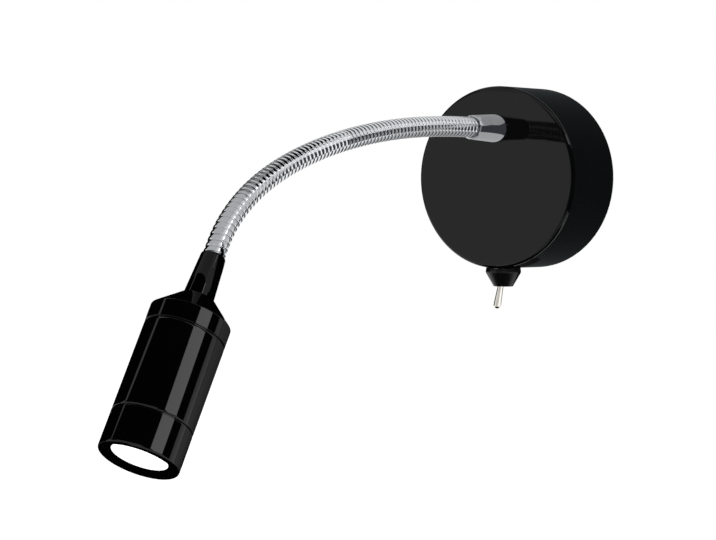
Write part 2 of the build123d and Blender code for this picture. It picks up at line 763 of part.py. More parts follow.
def neck_link(number):
    """One length of the gooseneck. The first is held in the ferrule, the last in the head's collar."""
    where = place(LINK_STARTS[number], neck_direction(number))
    is_first = number == 0
    is_last = number == LINKS - 1
    first_rib = -FERRULE_RIBS if is_first else 0
    ribs = RIBS_PER_LINK - first_rib
    if is_last:
        ribs += COLLAR_RIBS
    link = ribbed_tube(where, first_rib, ribs, seat=not is_last)
    if not is_first:
        link += ball_end(where)
    low = first_rib * RIB_PITCH - BALL_BACK - CUT_PAST
    high = (first_rib + ribs) * RIB_PITCH + CUT_PAST
    link -= rod(where, HOSE_BORE_R, low, high)
    if is_first:
        spigot_tip = STUD_FLANGE_T + SPIGOT_LENGTH - FERRULE_LENGTH
        link -= rod(where, SPIGOT_R + SPIGOT_GAP, low, spigot_tip + HOLE_GAP)
    if is_last:
        spigot_tip = LINK_LENGTH + COLLAR_RIBS * RIB_PITCH - SPIGOT_LENGTH
        link -= rod(where, SPIGOT_R + SPIGOT_GAP, spigot_tip - HOLE_GAP, high)
    else:
        link -= ball_seat(where)
    return link


# Lamp head places, as runs from the collar's mouth
SHOULDER_RUN = COLLAR_LENGTH
BARREL_RUN = SHOULDER_RUN + SHOULDER_LENGTH
BODY_RUN = BARREL_RUN + CAP_BARREL
BEZEL_RUN = BODY_RUN + BODY_LENGTH
LENS_END_RUN = BEZEL_RUN + BEZEL_LENGTH
HOSE_END_RUN = COLLAR_RIBS * RIB_PITCH
WEB_RUN = HOSE_END_RUN + FITTING_FLANGE_T
WEB_END_RUN = WEB_RUN + COLLAR_WEB


def head_fitting():
    """Hollow end fitting: spigot in the hose, flange, and a thread through the collar's web."""
    low = HOSE_END_RUN - SPIGOT_LENGTH
    outline = [
        (STUD_BORE_R, low),
        (SPIGOT_R, low),
        (SPIGOT_R, HOSE_END_RUN),
        (HOSE_R, HOSE_END_RUN),
        (HOSE_R, WEB_RUN),
        (HEAD_STUD_R, WEB_RUN),
        (HEAD_STUD_R, WEB_END_RUN + LOCK_NUT_T + HEAD_STUD_PROUD),
        (STUD_BORE_R, WEB_END_RUN + LOCK_NUT_T + HEAD_STUD_PROUD),
    ]
    return turned(outline, HEAD)


def head_lock_nut():
    """Round nut behind the collar's web, with a cross slot."""
    high = WEB_END_RUN + LOCK_NUT_T
    nut = tube(HEAD, LOCK_NUT_R, HEAD_STUD_R + THREAD_GAP, WEB_END_RUN, high)
    size = (2 * LOCK_NUT_R + CUT_PAST, LOCK_SLOT_W, CUT_PAST)
    return nut - block(HEAD, size, (0, 0), high - DRIVE_DEPTH)


def head_cap():
    """Rear cap: collar, cone shoulder, short barrel and a skirt that screws into the barrel."""
    skirt_end = BODY_RUN + SKIRT_LENGTH
    outline = [
        (FERRULE_BORE_R, 0),
        (COLLAR_MOUTH_R - COLLAR_CHAMFER / 2, 0),
        (COLLAR_MOUTH_R, COLLAR_CHAMFER),
        (COLLAR_FOOT_R, SHOULDER_RUN),
        (SHOULDER_TOP_R, SHOULDER_RUN),
        (HEAD_R, BARREL_RUN),
        (HEAD_R, BODY_RUN - GROOVE_W / 2),
        (HEAD_R - GROOVE_DEPTH, BODY_RUN - GROOVE_W / 2),
        (HEAD_R - GROOVE_DEPTH, BODY_RUN),
        (SKIRT_R, BODY_RUN),
        (SKIRT_R, skirt_end),
        (SKIRT_BORE_R, skirt_end),
        (SKIRT_BORE_R, BARREL_RUN + SHOULDER_INSET),
        (COLLAR_BORE_R, SHOULDER_RUN + SHOULDER_INSET),
        (COLLAR_BORE_R, WEB_END_RUN),
        (HEAD_STUD_R + THREAD_GAP, WEB_END_RUN),
        (HEAD_STUD_R + THREAD_GAP, WEB_RUN),
        (FERRULE_BORE_R, WEB_RUN),
    ]
    return turned(outline, HEAD, rounds=[(4, SHOULDER_TOP_ROUND), (5, SHOULDER_EDGE_ROUND)])


def head_body():
    """Main barrel of the head, stepped at both ends where its neighbours leave the grooves."""
    low = BODY_RUN
    high = BEZEL_RUN
    inset = HEAD_R - GROOVE_DEPTH
    outline = [
        (BARREL_BORE_R, low),
        (inset, low),
        (inset, low + GROOVE_W / 2),
        (HEAD_R, low + GROOVE_W / 2),
        (HEAD_R, high - GROOVE_W / 2),
        (inset, high - GROOVE_W / 2),
        (inset, high),
        (BARREL_BORE_R, high),
    ]
    return turned(outline, HEAD)


LENS_RUN = LENS_END_RUN - LENS_RECESS
LENS_BACK_RUN = LENS_RUN - LENS_T
LED_BOARD_RUN = LENS_BACK_RUN - REFLECTOR_DEPTH - LED_BOARD_T


def head_bezel():
    """Bezel ring: rounded front edge, lip over the lens, skirt screwed into the barrel."""
    low = BEZEL_RUN
    inset = HEAD_R - GROOVE_DEPTH
    skirt_low = low - SKIRT_LENGTH
    outline = [
        (SKIRT_BORE_R, skirt_low),
        (SKIRT_R, skirt_low),
        (SKIRT_R, low),
        (inset, low),
        (inset, low + GROOVE_W / 2),
        (HEAD_R, low + GROOVE_W / 2),
        (HEAD_R, LENS_END_RUN),
        (LENS_SHOWN_R + LENS_FLARE, LENS_END_RUN),
        (LENS_SHOWN_R, LENS_RUN),
        (SKIRT_BORE_R, LENS_RUN),
    ]
    return turned(outline, HEAD, rounds=[(6, BEZEL_ROUND), (7, LENS_EDGE_ROUND)])


def lens():
    """Frosted front disc."""
    return rod(HEAD, LENS_R, LENS_BACK_RUN, LENS_RUN)


def reflector():
    """Cone reflector between the LED and the front disc."""
    low = LENS_BACK_RUN - REFLECTOR_DEPTH
    outline = [
        (REFLECTOR_THROAT_R, low),
        (REFLECTOR_THROAT_R + REFLECTOR_T, low),
        (REFLECTOR_MOUTH_R, LENS_BACK_RUN - REFLECTOR_LIP),
        (REFLECTOR_MOUTH_R, LENS_BACK_RUN),
        (REFLECTOR_MOUTH_R - REFLECTOR_T, LENS_BACK_RUN),
    ]
    return turned(outline, HEAD)


def board_screw_places():
    """Places of the two board screws, one on each side of the LED."""
    return [at(HEAD, 0, way * BOARD_SCREW_PITCH_R) for way in (-1, 1)]


def led_board():
    """Round metal-core board."""
    top = LED_BOARD_RUN + LED_BOARD_T
    board = rod(HEAD, LED_BOARD_R, LED_BOARD_RUN, top)
    for spot in board_screw_places():
        board -= rod(spot, BOARD_SCREW_R + HOLE_GAP, LED_BOARD_RUN - CUT_PAST, top + CUT_PAST)
    return board


def led_emitter():
    """LED package with a shallow dome."""
    base = LED_BOARD_RUN + LED_BOARD_T
    outline = [(0, base), (LED_R, base), (LED_R, base + LED_T), (0, base + LED_T)]
    return turned(outline, HEAD, rounds=[(2, LED_DOME)])


def board_screws():
    """Two screws through the board into the heat spreader."""
    top = LED_BOARD_RUN + LED_BOARD_T
    screws = []
    size = (2 * BOARD_SCREW_HEAD_R + CUT_PAST, DRIVE_W, BOARD_SLOT_DEPTH + CUT_PAST)
    slot_floor = top + BOARD_SCREW_HEAD_H - BOARD_SLOT_DEPTH
    for spot in board_screw_places():
        head = rod(spot, BOARD_SCREW_HEAD_R, top, top + BOARD_SCREW_HEAD_H)
        slot = block(spot, size, (0, 0), slot_floor)
        screws.append(head + rod(spot, BOARD_SCREW_R, top - BOARD_SCREW_LENGTH, top) - slot)
    return screws


def heat_spreader():
    """Aluminium slug behind the board, fitted in the bezel's skirt and bored for the lead."""
    low = LED_BOARD_RUN - SPREADER_LENGTH
    slug = tube(HEAD, SKIRT_BORE_R - SPREADER_GAP, NECK_LEAD_R + HOLE_GAP, low, LED_BOARD_RUN)
    deep = LED_BOARD_RUN - BOARD_SCREW_LENGTH
    for spot in board_screw_places():
        slug -= rod(spot, BOARD_SCREW_R + THREAD_GAP, deep, LED_BOARD_RUN + CUT_PAST)
    return slug


def wire(radius, points, bends):
    """Round lead along straight runs joined by tangent arcs, one radius for each corner."""
    route = FilletPolyline(*points, radius=bends)
    start = Plane(origin=route @ 0, z_dir=route % 0)
    lead = sweep(start * Circle(radius), path=route)
    ideal = math.pi * radius**2 * route.length
    print("lead length", round(route.length, 1), "radii", [round(bend, 1) for bend in bends])
    print("volume against section times length", round(lead.volume / ideal, 5))
    return lead


def spot(x, depth, z):
    """Point in the wall box given by its depth out of the wall."""
    return (x, -depth, z)


def live_lead():
    """From the live pole, forward under the block and over to the switch's left tag."""
    x = pole_spots()[0]
    low = BLOCK_Z - BLOCK_H / 2
    points = [
        spot(x, CLAMP_DEPTH, low + 1.0),
        spot(x, CLAMP_DEPTH, low - 5.5),
        spot(x - 4.0, 16.5, low - 4.0),
        spot(x - 4.0, TOGGLE_DEPTH - 1.0, -TERMINAL_TOP + 1.0),
        spot(x - 1.5, TOGGLE_DEPTH, -TERMINAL_TOP + 12.0),
        spot(-TERMINAL_X, TOGGLE_DEPTH, -TERMINAL_TOP + 12.0),
        spot(-TERMINAL_X, TOGGLE_DEPTH, -TERMINAL_TOP),
    ]
    return wire(WIRE_R, points, [4.0, 6.0, 6.0, 3.4, 3.0])


def switched_lead():
    """From the switch's right tag up to the driver's right end."""
    end = DRIVER_W / 2
    points = [
        spot(TERMINAL_X, TOGGLE_DEPTH, -TERMINAL_TOP),
        spot(TERMINAL_X, TOGGLE_DEPTH, -TERMINAL_TOP + 10.0),
        spot(end - 2.0, 20.0, -1.0),
        spot(end + 6.5, 10.5, 12.0),
        spot(end, 10.5, 12.0),
    ]
    return wire(WIRE_R, points, [7.0, 8.0, 3.6])


def neutral_lead():
    """From the neutral pole round the right side to the driver's right end."""
    end = DRIVER_W / 2
    low = BLOCK_Z - BLOCK_H / 2
    points = [
        spot(0, CLAMP_DEPTH, low + 1.0),
        spot(0, CLAMP_DEPTH, low - 5.5),
        spot(15.0, 10.0, low - 4.5),
        spot(29.0, 11.0, -16.0),
        spot(end + 8.5, 10.5, 2.0),
        spot(end + 7.5, 10.5, 22.0),
        spot(end, 10.5, 22.0),
    ]
    return wire(WIRE_R, points, [4.5, 8.0, 12.0, 20.0, 5.0])


def earth_lead():
    """From the earth pole to the earth tag."""
    x = pole_spots()[-1]
    low = BLOCK_Z - BLOCK_H / 2
    barrel = PLATE_T + WIRE_R + TAG_T
    points = [
        spot(x, CLAMP_DEPTH, low + 1.0),
        spot(x, CLAMP_DEPTH, low - 4.0),
        spot(x + 8.0, CLAMP_DEPTH, low - 5.0),
        spot(EARTH_X, barrel, low + 1.0),
        spot(EARTH_X, barrel, EARTH_Z - TAG_R),
    ]
    return wire(WIRE_R - LINER, points, [2.6, 5.0, 4.5])


def neck_lead():
    """Two-core lead from the driver through the stud, the gooseneck and the collar to the LED board."""
    left = -DRIVER_W / 2
    turn = FACE_BACK - STUD_TAIL - 6.0
    head_way = neck_direction(LINKS - 1)
    points = [
        spot(left, 9.0, DRIVER_Z),
        spot(left - 5.5, 9.0, DRIVER_Z),
        spot(left - 5.5, turn, DRIVER_Z + 1.0),
        spot(0, turn, NECK_Z),
    ]
    points += [tuple(LINK_STARTS[link]) for link in range(1, LINKS)]
    points.append(tuple(LINK_STARTS[-1] + head_way * LED_BOARD_RUN))
    bends = [4.2, 5.0, 6.0]
    for link in range(1, LINKS):
        half_turn = math.radians(neck_heading(link) - neck_heading(link - 1)) / 2
        bends.append(0.45 * LINK_LENGTH / math.tan(half_turn))
    return wire(NECK_LEAD_R, points, bends)


PIECES = [
    base_cover,
    wall_bracket,
    cable_grommet,
    cover_screws,
    driver_case,
    driver_board,
    module_screws,
    terminal_block,
    terminal_clamps,
    terminal_screws,
    earth_tag,
    earth_screw,
    switch_body,
    switch_frame,
    toggle_bushing,
    toggle_pin,
    backing_nut,
    toggle_washer,
    toggle_cap_nut,
    toggle_lever,
    switch_terminals,
    neck_stud,
    neck_washer,
    neck_nut,
    neck_ferrule,
    head_fitting,
    head_lock_nut,
    head_cap,
    head_body,
    head_bezel,
    lens,
    reflector,
    led_board,
    led_emitter,
    board_screws,
    heat_spreader,
    live_lead,
    switched_lead,
    neutral_lead,
    earth_lead,
    neck_lead,
]

for piece in PIECES:
    made = piece()
    save(piece.__name__, *(made if isinstance(made, list) else [made]))
for number in range(LINKS):
    save(f"neck_link_{number + 1:02d}", neck_link(number))
print("link joints", [tuple(round(side, 3) for side in start) for start in LINK_STARTS[1:-1]])
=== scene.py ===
"""Bedside wall reading lamp: the looks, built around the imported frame.

Sizes are in millimetres in the classes and in metres in every mesh.
"""

from __future__ import annotations

import logging
import math
from dataclasses import dataclass
from enum import Enum
from typing import Mapping, Optional, Sequence, Union

import bmesh
import bpy
import numpy as np
from mathutils import Matrix, Vector


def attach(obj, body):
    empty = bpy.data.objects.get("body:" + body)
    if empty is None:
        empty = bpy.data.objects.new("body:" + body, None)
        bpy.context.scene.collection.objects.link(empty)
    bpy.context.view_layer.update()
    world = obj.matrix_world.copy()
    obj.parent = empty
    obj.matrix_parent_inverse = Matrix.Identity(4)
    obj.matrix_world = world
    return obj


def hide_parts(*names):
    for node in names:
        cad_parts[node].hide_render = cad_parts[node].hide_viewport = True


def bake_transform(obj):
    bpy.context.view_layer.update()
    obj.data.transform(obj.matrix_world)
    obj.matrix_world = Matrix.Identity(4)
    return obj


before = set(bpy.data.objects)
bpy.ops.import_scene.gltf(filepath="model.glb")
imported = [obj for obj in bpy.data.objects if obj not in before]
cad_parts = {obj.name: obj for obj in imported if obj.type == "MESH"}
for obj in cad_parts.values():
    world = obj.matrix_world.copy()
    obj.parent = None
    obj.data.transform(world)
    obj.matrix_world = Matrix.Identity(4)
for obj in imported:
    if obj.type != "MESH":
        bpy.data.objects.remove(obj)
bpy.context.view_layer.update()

MM = 0.001
RGB = tuple[float, float, float]
Point = tuple[float, float, float]
Plane = tuple[np.ndarray, np.ndarray]

logging.basicConfig(level=logging.INFO, format="%(message)s")
LOG = logging.getLogger("lamp")


class Slot(Enum):
    """The record's material slots."""

    GLOSS_BLACK = "gloss_black"
    CHROME = "chrome"
    NICKEL = "nickel"
    CAP_BLACK = "cap_black"
    ZINC_STEEL = "zinc_steel"
    BRASS = "brass"
    BLACK_RUBBER = "black_rubber"
    CASE_WHITE = "case_white"
    BLOCK_WHITE = "block_white"
    SWITCH_BLUE = "switch_blue"
    BOARD_WHITE = "board_white"
    LED_YELLOW = "led_yellow"
    LENS_WHITE = "lens_white"
    MIRROR_CONE = "mirror_cone"
    SPREADER_ALLOY = "spreader_alloy"
    LEAD_BROWN = "lead_brown"
    LEAD_BLUE = "lead_blue"
    LEAD_BLACK = "lead_black"
    LEAD_GREEN = "lead_green"
    LEAD_CLEAR = "lead_clear"


# ---------------------------------------------------------------- shader maths


class Value:
    """An output socket that takes part in arithmetic."""

    def __init__(self, graph: "Graph", socket: bpy.types.NodeSocket) -> None:
        """Keeps the graph and the socket."""
        self.graph = graph
        self.socket = socket

    def _math(self, operation: str, *terms: "Term") -> "Value":
        """Adds one Math node on the terms."""
        return self.graph.node("ShaderNodeMath", {"operation": operation}, dict(enumerate(terms)))

    def __add__(self, other: "Term") -> "Value":
        """self + other."""
        return self._math("ADD", self, other)

    def __radd__(self, other: "Term") -> "Value":
        """other + self."""
        return self._math("ADD", other, self)

    def __sub__(self, other: "Term") -> "Value":
        """self - other."""
        return self._math("SUBTRACT", self, other)

    def __rsub__(self, other: "Term") -> "Value":
        """other - self."""
        return self._math("SUBTRACT", other, self)

    def __mul__(self, other: "Term") -> "Value":
        """self * other."""
        return self._math("MULTIPLY", self, other)

    def __rmul__(self, other: "Term") -> "Value":
        """other * self."""
        return self._math("MULTIPLY", other, self)

    def above(self, level: float) -> "Value":
        """1 where the value is above a level, else 0."""
        return self._math("GREATER_THAN", self, level)

    def capped(self) -> "Value":
        """The value, at most 1."""
        return self._math("MINIMUM", self, 1.0)

    def stretched(self, low: float, high: float) -> "Value":
        """The value's range low to high, spread smoothly over 0 to 1.

        Args:
            low: The value that becomes 0.
            high: The value that becomes 1.

        Returns:
            The spread value.
        """
        settings = {"interpolation_type": "SMOOTHSTEP"}
        ends = {"From Min": low, "From Max": high}
        return self.graph.node("ShaderNodeMapRange", settings, {"Value": self, **ends})


Term = Union[Value, float]
Input = Union[Value, float, Sequence[float]]


class Graph:
    """The nodes of one material or of the world."""

    def __init__(self, owner: Union[bpy.types.Material, bpy.types.World]) -> None:
        """Empties the owner's node tree.

        Args:
            owner: The material or world that the nodes belong to.
        """
        owner.use_nodes = True
        self.owner = owner
        self.tree = owner.node_tree
        self.tree.nodes.clear()

    def node(
        self,
        kind: str,
        settings: Optional[Mapping[str, object]] = None,
        inputs: Optional[Mapping[Union[str, int], Input]] = None,
        output: Union[str, int] = 0,
    ) -> Value:
        """Adds a node.

        Args:
            kind: The node's type.
            settings: Its settings, which are set first. "stops" are a ramp's positions and colours.
            inputs: The values or links of its sockets, by name or place.
            output: The output that the result stands for.

        Returns:
            That output.
        """
        made = self.tree.nodes.new(kind)
        for name, value in (settings or {}).items():
            if name == "stops":
                self._set_stops(made, value)
            else:
                setattr(made, name, value)
        for key, value in (inputs or {}).items():
            if isinstance(value, Value):
                self.tree.links.new(value.socket, made.inputs[key])
            else:
                made.inputs[key].default_value = value
        return Value(self, made.outputs[output]) if made.outputs else Value(self, made)

    @staticmethod
    def _set_stops(ramp: bpy.types.Node, stops: Sequence[tuple[float, RGB]]) -> None:
        """Sets a colour ramp's stops.

        Args:
            ramp: The ramp node.
            stops: Position and colour of each stop.
        """
        elements = ramp.color_ramp.elements
        while len(elements) < len(stops):
            elements.new(1.0)
        for element, (position, colour) in zip(elements, stops):
            element.position = position
            element.color = (*colour, 1.0)

    def place(self) -> Value:
        """The point on the object at rest, in metres."""
        return self.node("ShaderNodeTexCoord", output="Object")

    def stretch(self, scale: Point) -> Value:
        """The point on the object, scaled along each axis."""
        return self.node("ShaderNodeMapping", inputs={"Vector": self.place(), "Scale": scale})

    def noise(self, size: float, detail: float = 3.0, where: Optional[Value] = None) -> Value:
        """Soft noise.

        Args:
            size: Size of its patches, in millimetres.
            detail: Octaves of finer noise.
            where: The point it is read at, by default the point on the object.

        Returns:
            The noise, from 0 to 1.
        """
        inputs = {"Vector": where or self.place(), "Scale": 1 / (size * MM), "Detail": detail}
        return self.node("ShaderNodeTexNoise", inputs=inputs)

    def cells(self, size: float) -> Value:
        """Distance to the nearest of scattered points, in cells of a size in millimetres."""
        inputs = {"Vector": self.place(), "Scale": 1 / (size * MM)}
        return self.node("ShaderNodeTexVoronoi", inputs=inputs)

    def bump(self, height: Value, depth: float) -> Value:
        """A relief.

        Args:
            height: The height, from 0 to 1.
            depth: The height that 1 stands for, in millimetres.

        Returns:
            The normal.
        """
        return self.node("ShaderNodeBump", inputs={"Height": height, "Distance": depth * MM})

    def blend(self, factor: Input, low: Input, high: Input) -> Value:
        """A colour between two colours.

        Args:
            factor: 0 for the first colour and 1 for the second.
            low: The first colour.
            high: The second colour.

        Returns:
            The colour between.
        """
        low, high = (c if isinstance(c, Value) else (*c, 1.0) for c in (low, high))
        inputs = {0: factor, 6: low, 7: high}
        return self.node("ShaderNodeMix", {"data_type": "RGBA"}, inputs, 2)

    def seen(self) -> Value:
        """1 for what the camera sees directly, in a mirror or through glass, else 0."""
        rays = [
            self.node("ShaderNodeLightPath", output=name)
            for name in ("Is Camera Ray", "Is Glossy Ray", "Is Transmission Ray")
        ]
        return (rays[0] + rays[1] + rays[2]).capped()

    def surface(self, shader: Value) -> None:
        """Ends the graph in its output."""
        world = isinstance(self.owner, bpy.types.World)
        kind = "ShaderNodeOutputWorld" if world else "ShaderNodeOutputMaterial"
        self.node(kind, inputs={"Surface": shader})

    def principled(self, **inputs: Input) -> None:
        """Ends the graph in a Principled shader; a socket's name is written with _ for a space."""
        named = {name.replace("_", " "): value for name, value in inputs.items()}
        for name, value in named.items():
            if name.endswith(("Color", "Tint")) and not isinstance(value, Value):
                named[name] = (*value, 1.0)
        self.surface(self.node("ShaderNodeBsdfPrincipled", inputs=named))


# ---------------------------------------------------------------- finishes


@dataclass(frozen=True)
class Finish:
    """A finish: its slot and base colour."""

    slot: Slot
    colour: RGB

    def material(self) -> bpy.types.Material:
        """Makes the material.

        Returns:
            The new material.
        """
        made = bpy.data.materials.new(f"finish_{self.slot.value}")
        self.paint(Graph(made))
        return made

    def darker(self, share: float) -> RGB:
        """The base colour at a share of its brightness."""
        return tuple(share * part for part in self.colour)

    def paint(self, graph: Graph) -> None:
        """Fills the graph; each finish has its own."""
        graph.principled(Base_Color=self.colour)


@dataclass(frozen=True)
class Lacquer(Finish):
    """Stoved lacquer: a mirror gloss with a faint orange peel and a breath of dust."""

    roughness: float = 0.035
    ior: float = 1.33
    peel: float = 0.0006
    peel_size: float = 1.6
    haze_size: float = 11.0
    haze_roughness: float = 0.02
    dust: RGB = (0.02, 0.02, 0.02)
    dust_spacing: float = 2.6
    dust_patch: float = 9.0
    dust_share: float = 0.25
    dust_roughness: float = 0.12

    def paint(self, graph: Graph) -> None:
        """Fills the graph."""
        haze = graph.noise(self.haze_size, 4.0).stretched(0.35, 0.75)
        specks = 1 - graph.cells(self.dust_spacing).stretched(0.02, 0.05)
        dusty = specks * graph.noise(self.dust_patch, 2.0).above(0.56)
        tint = graph.blend(haze, self.darker(0.75), self.colour)
        graph.principled(
            Base_Color=graph.blend(dusty * self.dust_share, tint, self.dust),
            Roughness=self.roughness + haze * self.haze_roughness + dusty * self.dust_roughness,
            IOR=self.ior,
            Normal=graph.bump(graph.noise(self.peel_size, 1.0), self.peel),
        )


@dataclass(frozen=True)
class Plating(Finish):
    """Bright plating: a mirror with faint clouding, polishing lines and fine pits."""

    roughness: float = 0.05
    clouding: float = 0.05
    cloud_size: float = 3.5
    lines: Point = (400.0, 400.0, 400.0)
    line_share: float = 0.7
    pit_spacing: float = 0.9
    pit_share: float = 0.3
    pit_roughness: float = 0.1
    relief: float = 0.0012

    def paint(self, graph: Graph) -> None:
        """Fills the graph."""
        cloud = graph.noise(self.cloud_size, 4.0).stretched(0.3, 0.8)
        polish = graph.noise(1.0, 2.0, graph.stretch(self.lines))
        pits = 1 - graph.cells(self.pit_spacing).stretched(0.03, 0.09)
        dull = cloud * 0.6 + pits * self.pit_share
        graph.principled(
            Base_Color=graph.blend(dull, self.colour, self.darker(0.88)),
            Metallic=1.0,
            Roughness=self.roughness + cloud * self.clouding + pits * self.pit_roughness,
            Normal=graph.bump(polish * self.line_share + pits * -self.pit_share, self.relief),
        )


@dataclass(frozen=True)
class TurnedMetal(Finish):
    """Bare or passivated metal with tool marks and a mottled surface."""

    roughness: float = 0.24
    mottle: float = 1.4
    mottle_roughness: float = 0.06
    grain_size: float = 0.22
    grain_roughness: float = 0.16
    relief: float = 0.006

    def paint(self, graph: Graph) -> None:
        """Fills the graph."""
        patch = graph.cells(self.mottle)
        grain = graph.noise(self.grain_size, 3.0)
        dull = patch * 0.5 + grain * 0.35
        graph.principled(
            Base_Color=graph.blend(dull, self.colour, self.darker(0.72)),
            Metallic=1.0,
            Roughness=self.roughness + grain * self.grain_roughness + patch * self.mottle_roughness,
            Normal=graph.bump(grain, self.relief),
        )


@dataclass(frozen=True)
class Moulded(Finish):
    """Moulded plastic, rubber or a board: fine spark texture and slow colour change."""

    roughness: float = 0.5
    grain: float = 0.18
    grain_roughness: float = 0.14
    drift_size: float = 9.0
    drift_polish: float = 0.05
    relief: float = 0.012
    ior: float = 1.46

    def paint(self, graph: Graph) -> None:
        """Fills the graph."""
        spark = graph.noise(self.grain, 4.0)
        drift = graph.noise(self.drift_size, 2.0)
        graph.principled(
            Base_Color=graph.blend(drift * 0.7 + spark * 0.3, self.colour, self.darker(0.86)),
            Roughness=self.roughness + spark * self.grain_roughness - drift * self.drift_polish,
            IOR=self.ior,
            Normal=graph.bump(spark, self.relief),
        )


@dataclass(frozen=True)
class StripedSleeve(Moulded):
    """A lead's sleeve in two colours, in long stripes."""

    second: RGB = (0.75, 0.6, 0.05)
    stripe_size: float = 2.4
    stripe_stretch: Point = (1.0, 0.3, 0.6)
    grain_roughness: float = 0.12

    def paint(self, graph: Graph) -> None:
        """Fills the graph."""
        stripe = graph.noise(self.stripe_size, 0.0, graph.stretch(self.stripe_stretch)).above(0.5)
        spark = graph.noise(self.grain, 4.0)
        graph.principled(
            Base_Color=graph.blend(stripe, self.colour, self.second),
            Roughness=self.roughness + spark * self.grain_roughness,
            IOR=self.ior,
            Normal=graph.bump(spark, self.relief),
        )


@dataclass(frozen=True)
class LitLens(Finish):
    """Frosted disc, lit from behind by light that is a little cooler in places."""

    glow: float = 1.0
    light: RGB = (1.0, 1.0, 1.0)
    cool_light: RGB = (0.97, 0.985, 1.0)
    light_size: float = 7.0
    frost_size: float = 0.12
    frost_depth: float = 0.006
    roughness: float = 0.42
    frost_roughness: float = 0.2

    def paint(self, graph: Graph) -> None:
        """Fills the graph."""
        frost = graph.noise(self.frost_size, 3.0)
        drift = graph.noise(self.light_size, 1.0)
        graph.principled(
            Base_Color=graph.blend(frost, self.colour, self.darker(0.96)),
            Roughness=self.roughness + frost * self.frost_roughness,
            Emission_Color=graph.blend(drift, self.light, self.cool_light),
            Emission_Strength=self.glow,
            Normal=graph.bump(frost, self.frost_depth),
        )


@dataclass(frozen=True)
class Phosphor(Finish):
    """The emitter's phosphor dome, lit."""

    glow: float = 3.0
    light: RGB = (1.0, 0.95, 0.8)
    grain_size: float = 0.1
    grain_depth: float = 0.01
    roughness: float = 0.3
    grain_roughness: float = 0.2

    def paint(self, graph: Graph) -> None:
        """Fills the graph."""
        grain = graph.noise(self.grain_size, 3.0)
        graph.principled(
            Base_Color=graph.blend(grain, self.colour, self.darker(0.85)),
            Roughness=self.roughness + grain * self.grain_roughness,
            Emission_Color=self.light,
            Emission_Strength=self.glow,
            Normal=graph.bump(grain, self.grain_depth),
        )


FINISHES: tuple[Finish, ...] = (
    Lacquer(Slot.GLOSS_BLACK, (0.0010, 0.0011, 0.0013)),
    Plating(Slot.CHROME, (0.64, 0.65, 0.67)),
    Plating(Slot.NICKEL, (0.70, 0.68, 0.63), roughness=0.15, clouding=0.04, relief=0.0003),
    Moulded(Slot.CAP_BLACK, (0.0025, 0.0025, 0.0027), roughness=0.26, relief=0.0012, ior=1.3),
    TurnedMetal(Slot.ZINC_STEEL, (0.62, 0.63, 0.64)),
    TurnedMetal(Slot.BRASS, (0.78, 0.60, 0.32), roughness=0.2),
    Moulded(Slot.BLACK_RUBBER, (0.022, 0.022, 0.023), roughness=0.62, relief=0.02),
    Moulded(Slot.CASE_WHITE, (0.84, 0.84, 0.81)),
    Moulded(Slot.BLOCK_WHITE, (0.78, 0.78, 0.73), roughness=0.4),
    Moulded(Slot.SWITCH_BLUE, (0.04, 0.09, 0.27), roughness=0.38),
    Moulded(Slot.BOARD_WHITE, (0.76, 0.79, 0.76), roughness=0.3, relief=0.004),
    Phosphor(Slot.LED_YELLOW, (0.9, 0.78, 0.3)),
    LitLens(Slot.LENS_WHITE, (0.95, 0.95, 0.95)),
    TurnedMetal(Slot.MIRROR_CONE, (0.9, 0.9, 0.9), roughness=0.06, relief=0.001),
    TurnedMetal(Slot.SPREADER_ALLOY, (0.74, 0.75, 0.77), roughness=0.3),
    Moulded(Slot.LEAD_BROWN, (0.19, 0.085, 0.035), roughness=0.42),
    Moulded(Slot.LEAD_BLUE, (0.03, 0.11, 0.42), roughness=0.42),
    Moulded(Slot.LEAD_BLACK, (0.018, 0.018, 0.018), roughness=0.42),
    StripedSleeve(Slot.LEAD_GREEN, (0.08, 0.38, 0.07), roughness=0.42),
    Moulded(Slot.LEAD_CLEAR, (0.62, 0.62, 0.62), roughness=0.36),
)


class Wardrobe:
    """Every finish's material, by slot."""

    def __init__(self, finishes: Sequence[Finish]) -> None:
        """Makes the materials."""
        self.materials = {finish.slot: finish.material() for finish in finishes}

    def dress_nodes(self) -> None:
        """Gives every CAD node its slot's material."""
        for name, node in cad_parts.items():
            slot = Slot(node.data.materials[0].name.split(".")[0])
            node.data.materials[0] = self.materials[slot]
            LOG.info("node %s: %s", name, slot.value)

    def dress(self, piece: bpy.types.Object, slot: Slot) -> None:
        """Gives a new piece the material of a slot.

        Args:
            piece: The piece.
            slot: The slot.
        """
        piece.data.materials.clear()
        piece.data.materials.append(self.materials[slot])


# ---------------------------------------------------------------- meshes


def new_piece(name: str, points: np.ndarray, faces: Sequence[Sequence[int]]) -> bpy.types.Object:
    """Makes a smooth mesh object.

    Args:
        name: Name of the object and its mesh.
        points: Points in metres.
        faces: Point numbers of each face.

    Returns:
        The object, in the scene.
    """
    mesh = bpy.data.meshes.new(name)
    mesh.from_pydata(points.tolist(), [], faces)
    mesh.polygons.foreach_set("use_smooth", [True] * len(mesh.polygons))
    mesh.update()
    piece = bpy.data.objects.new(name, mesh)
    bpy.context.scene.collection.objects.link(piece)
    return piece


@dataclass(frozen=True)
class Corner:
    """A corner of a turned outline, in millimetres."""

    radius: float
    height: float
    round: float = 0.0


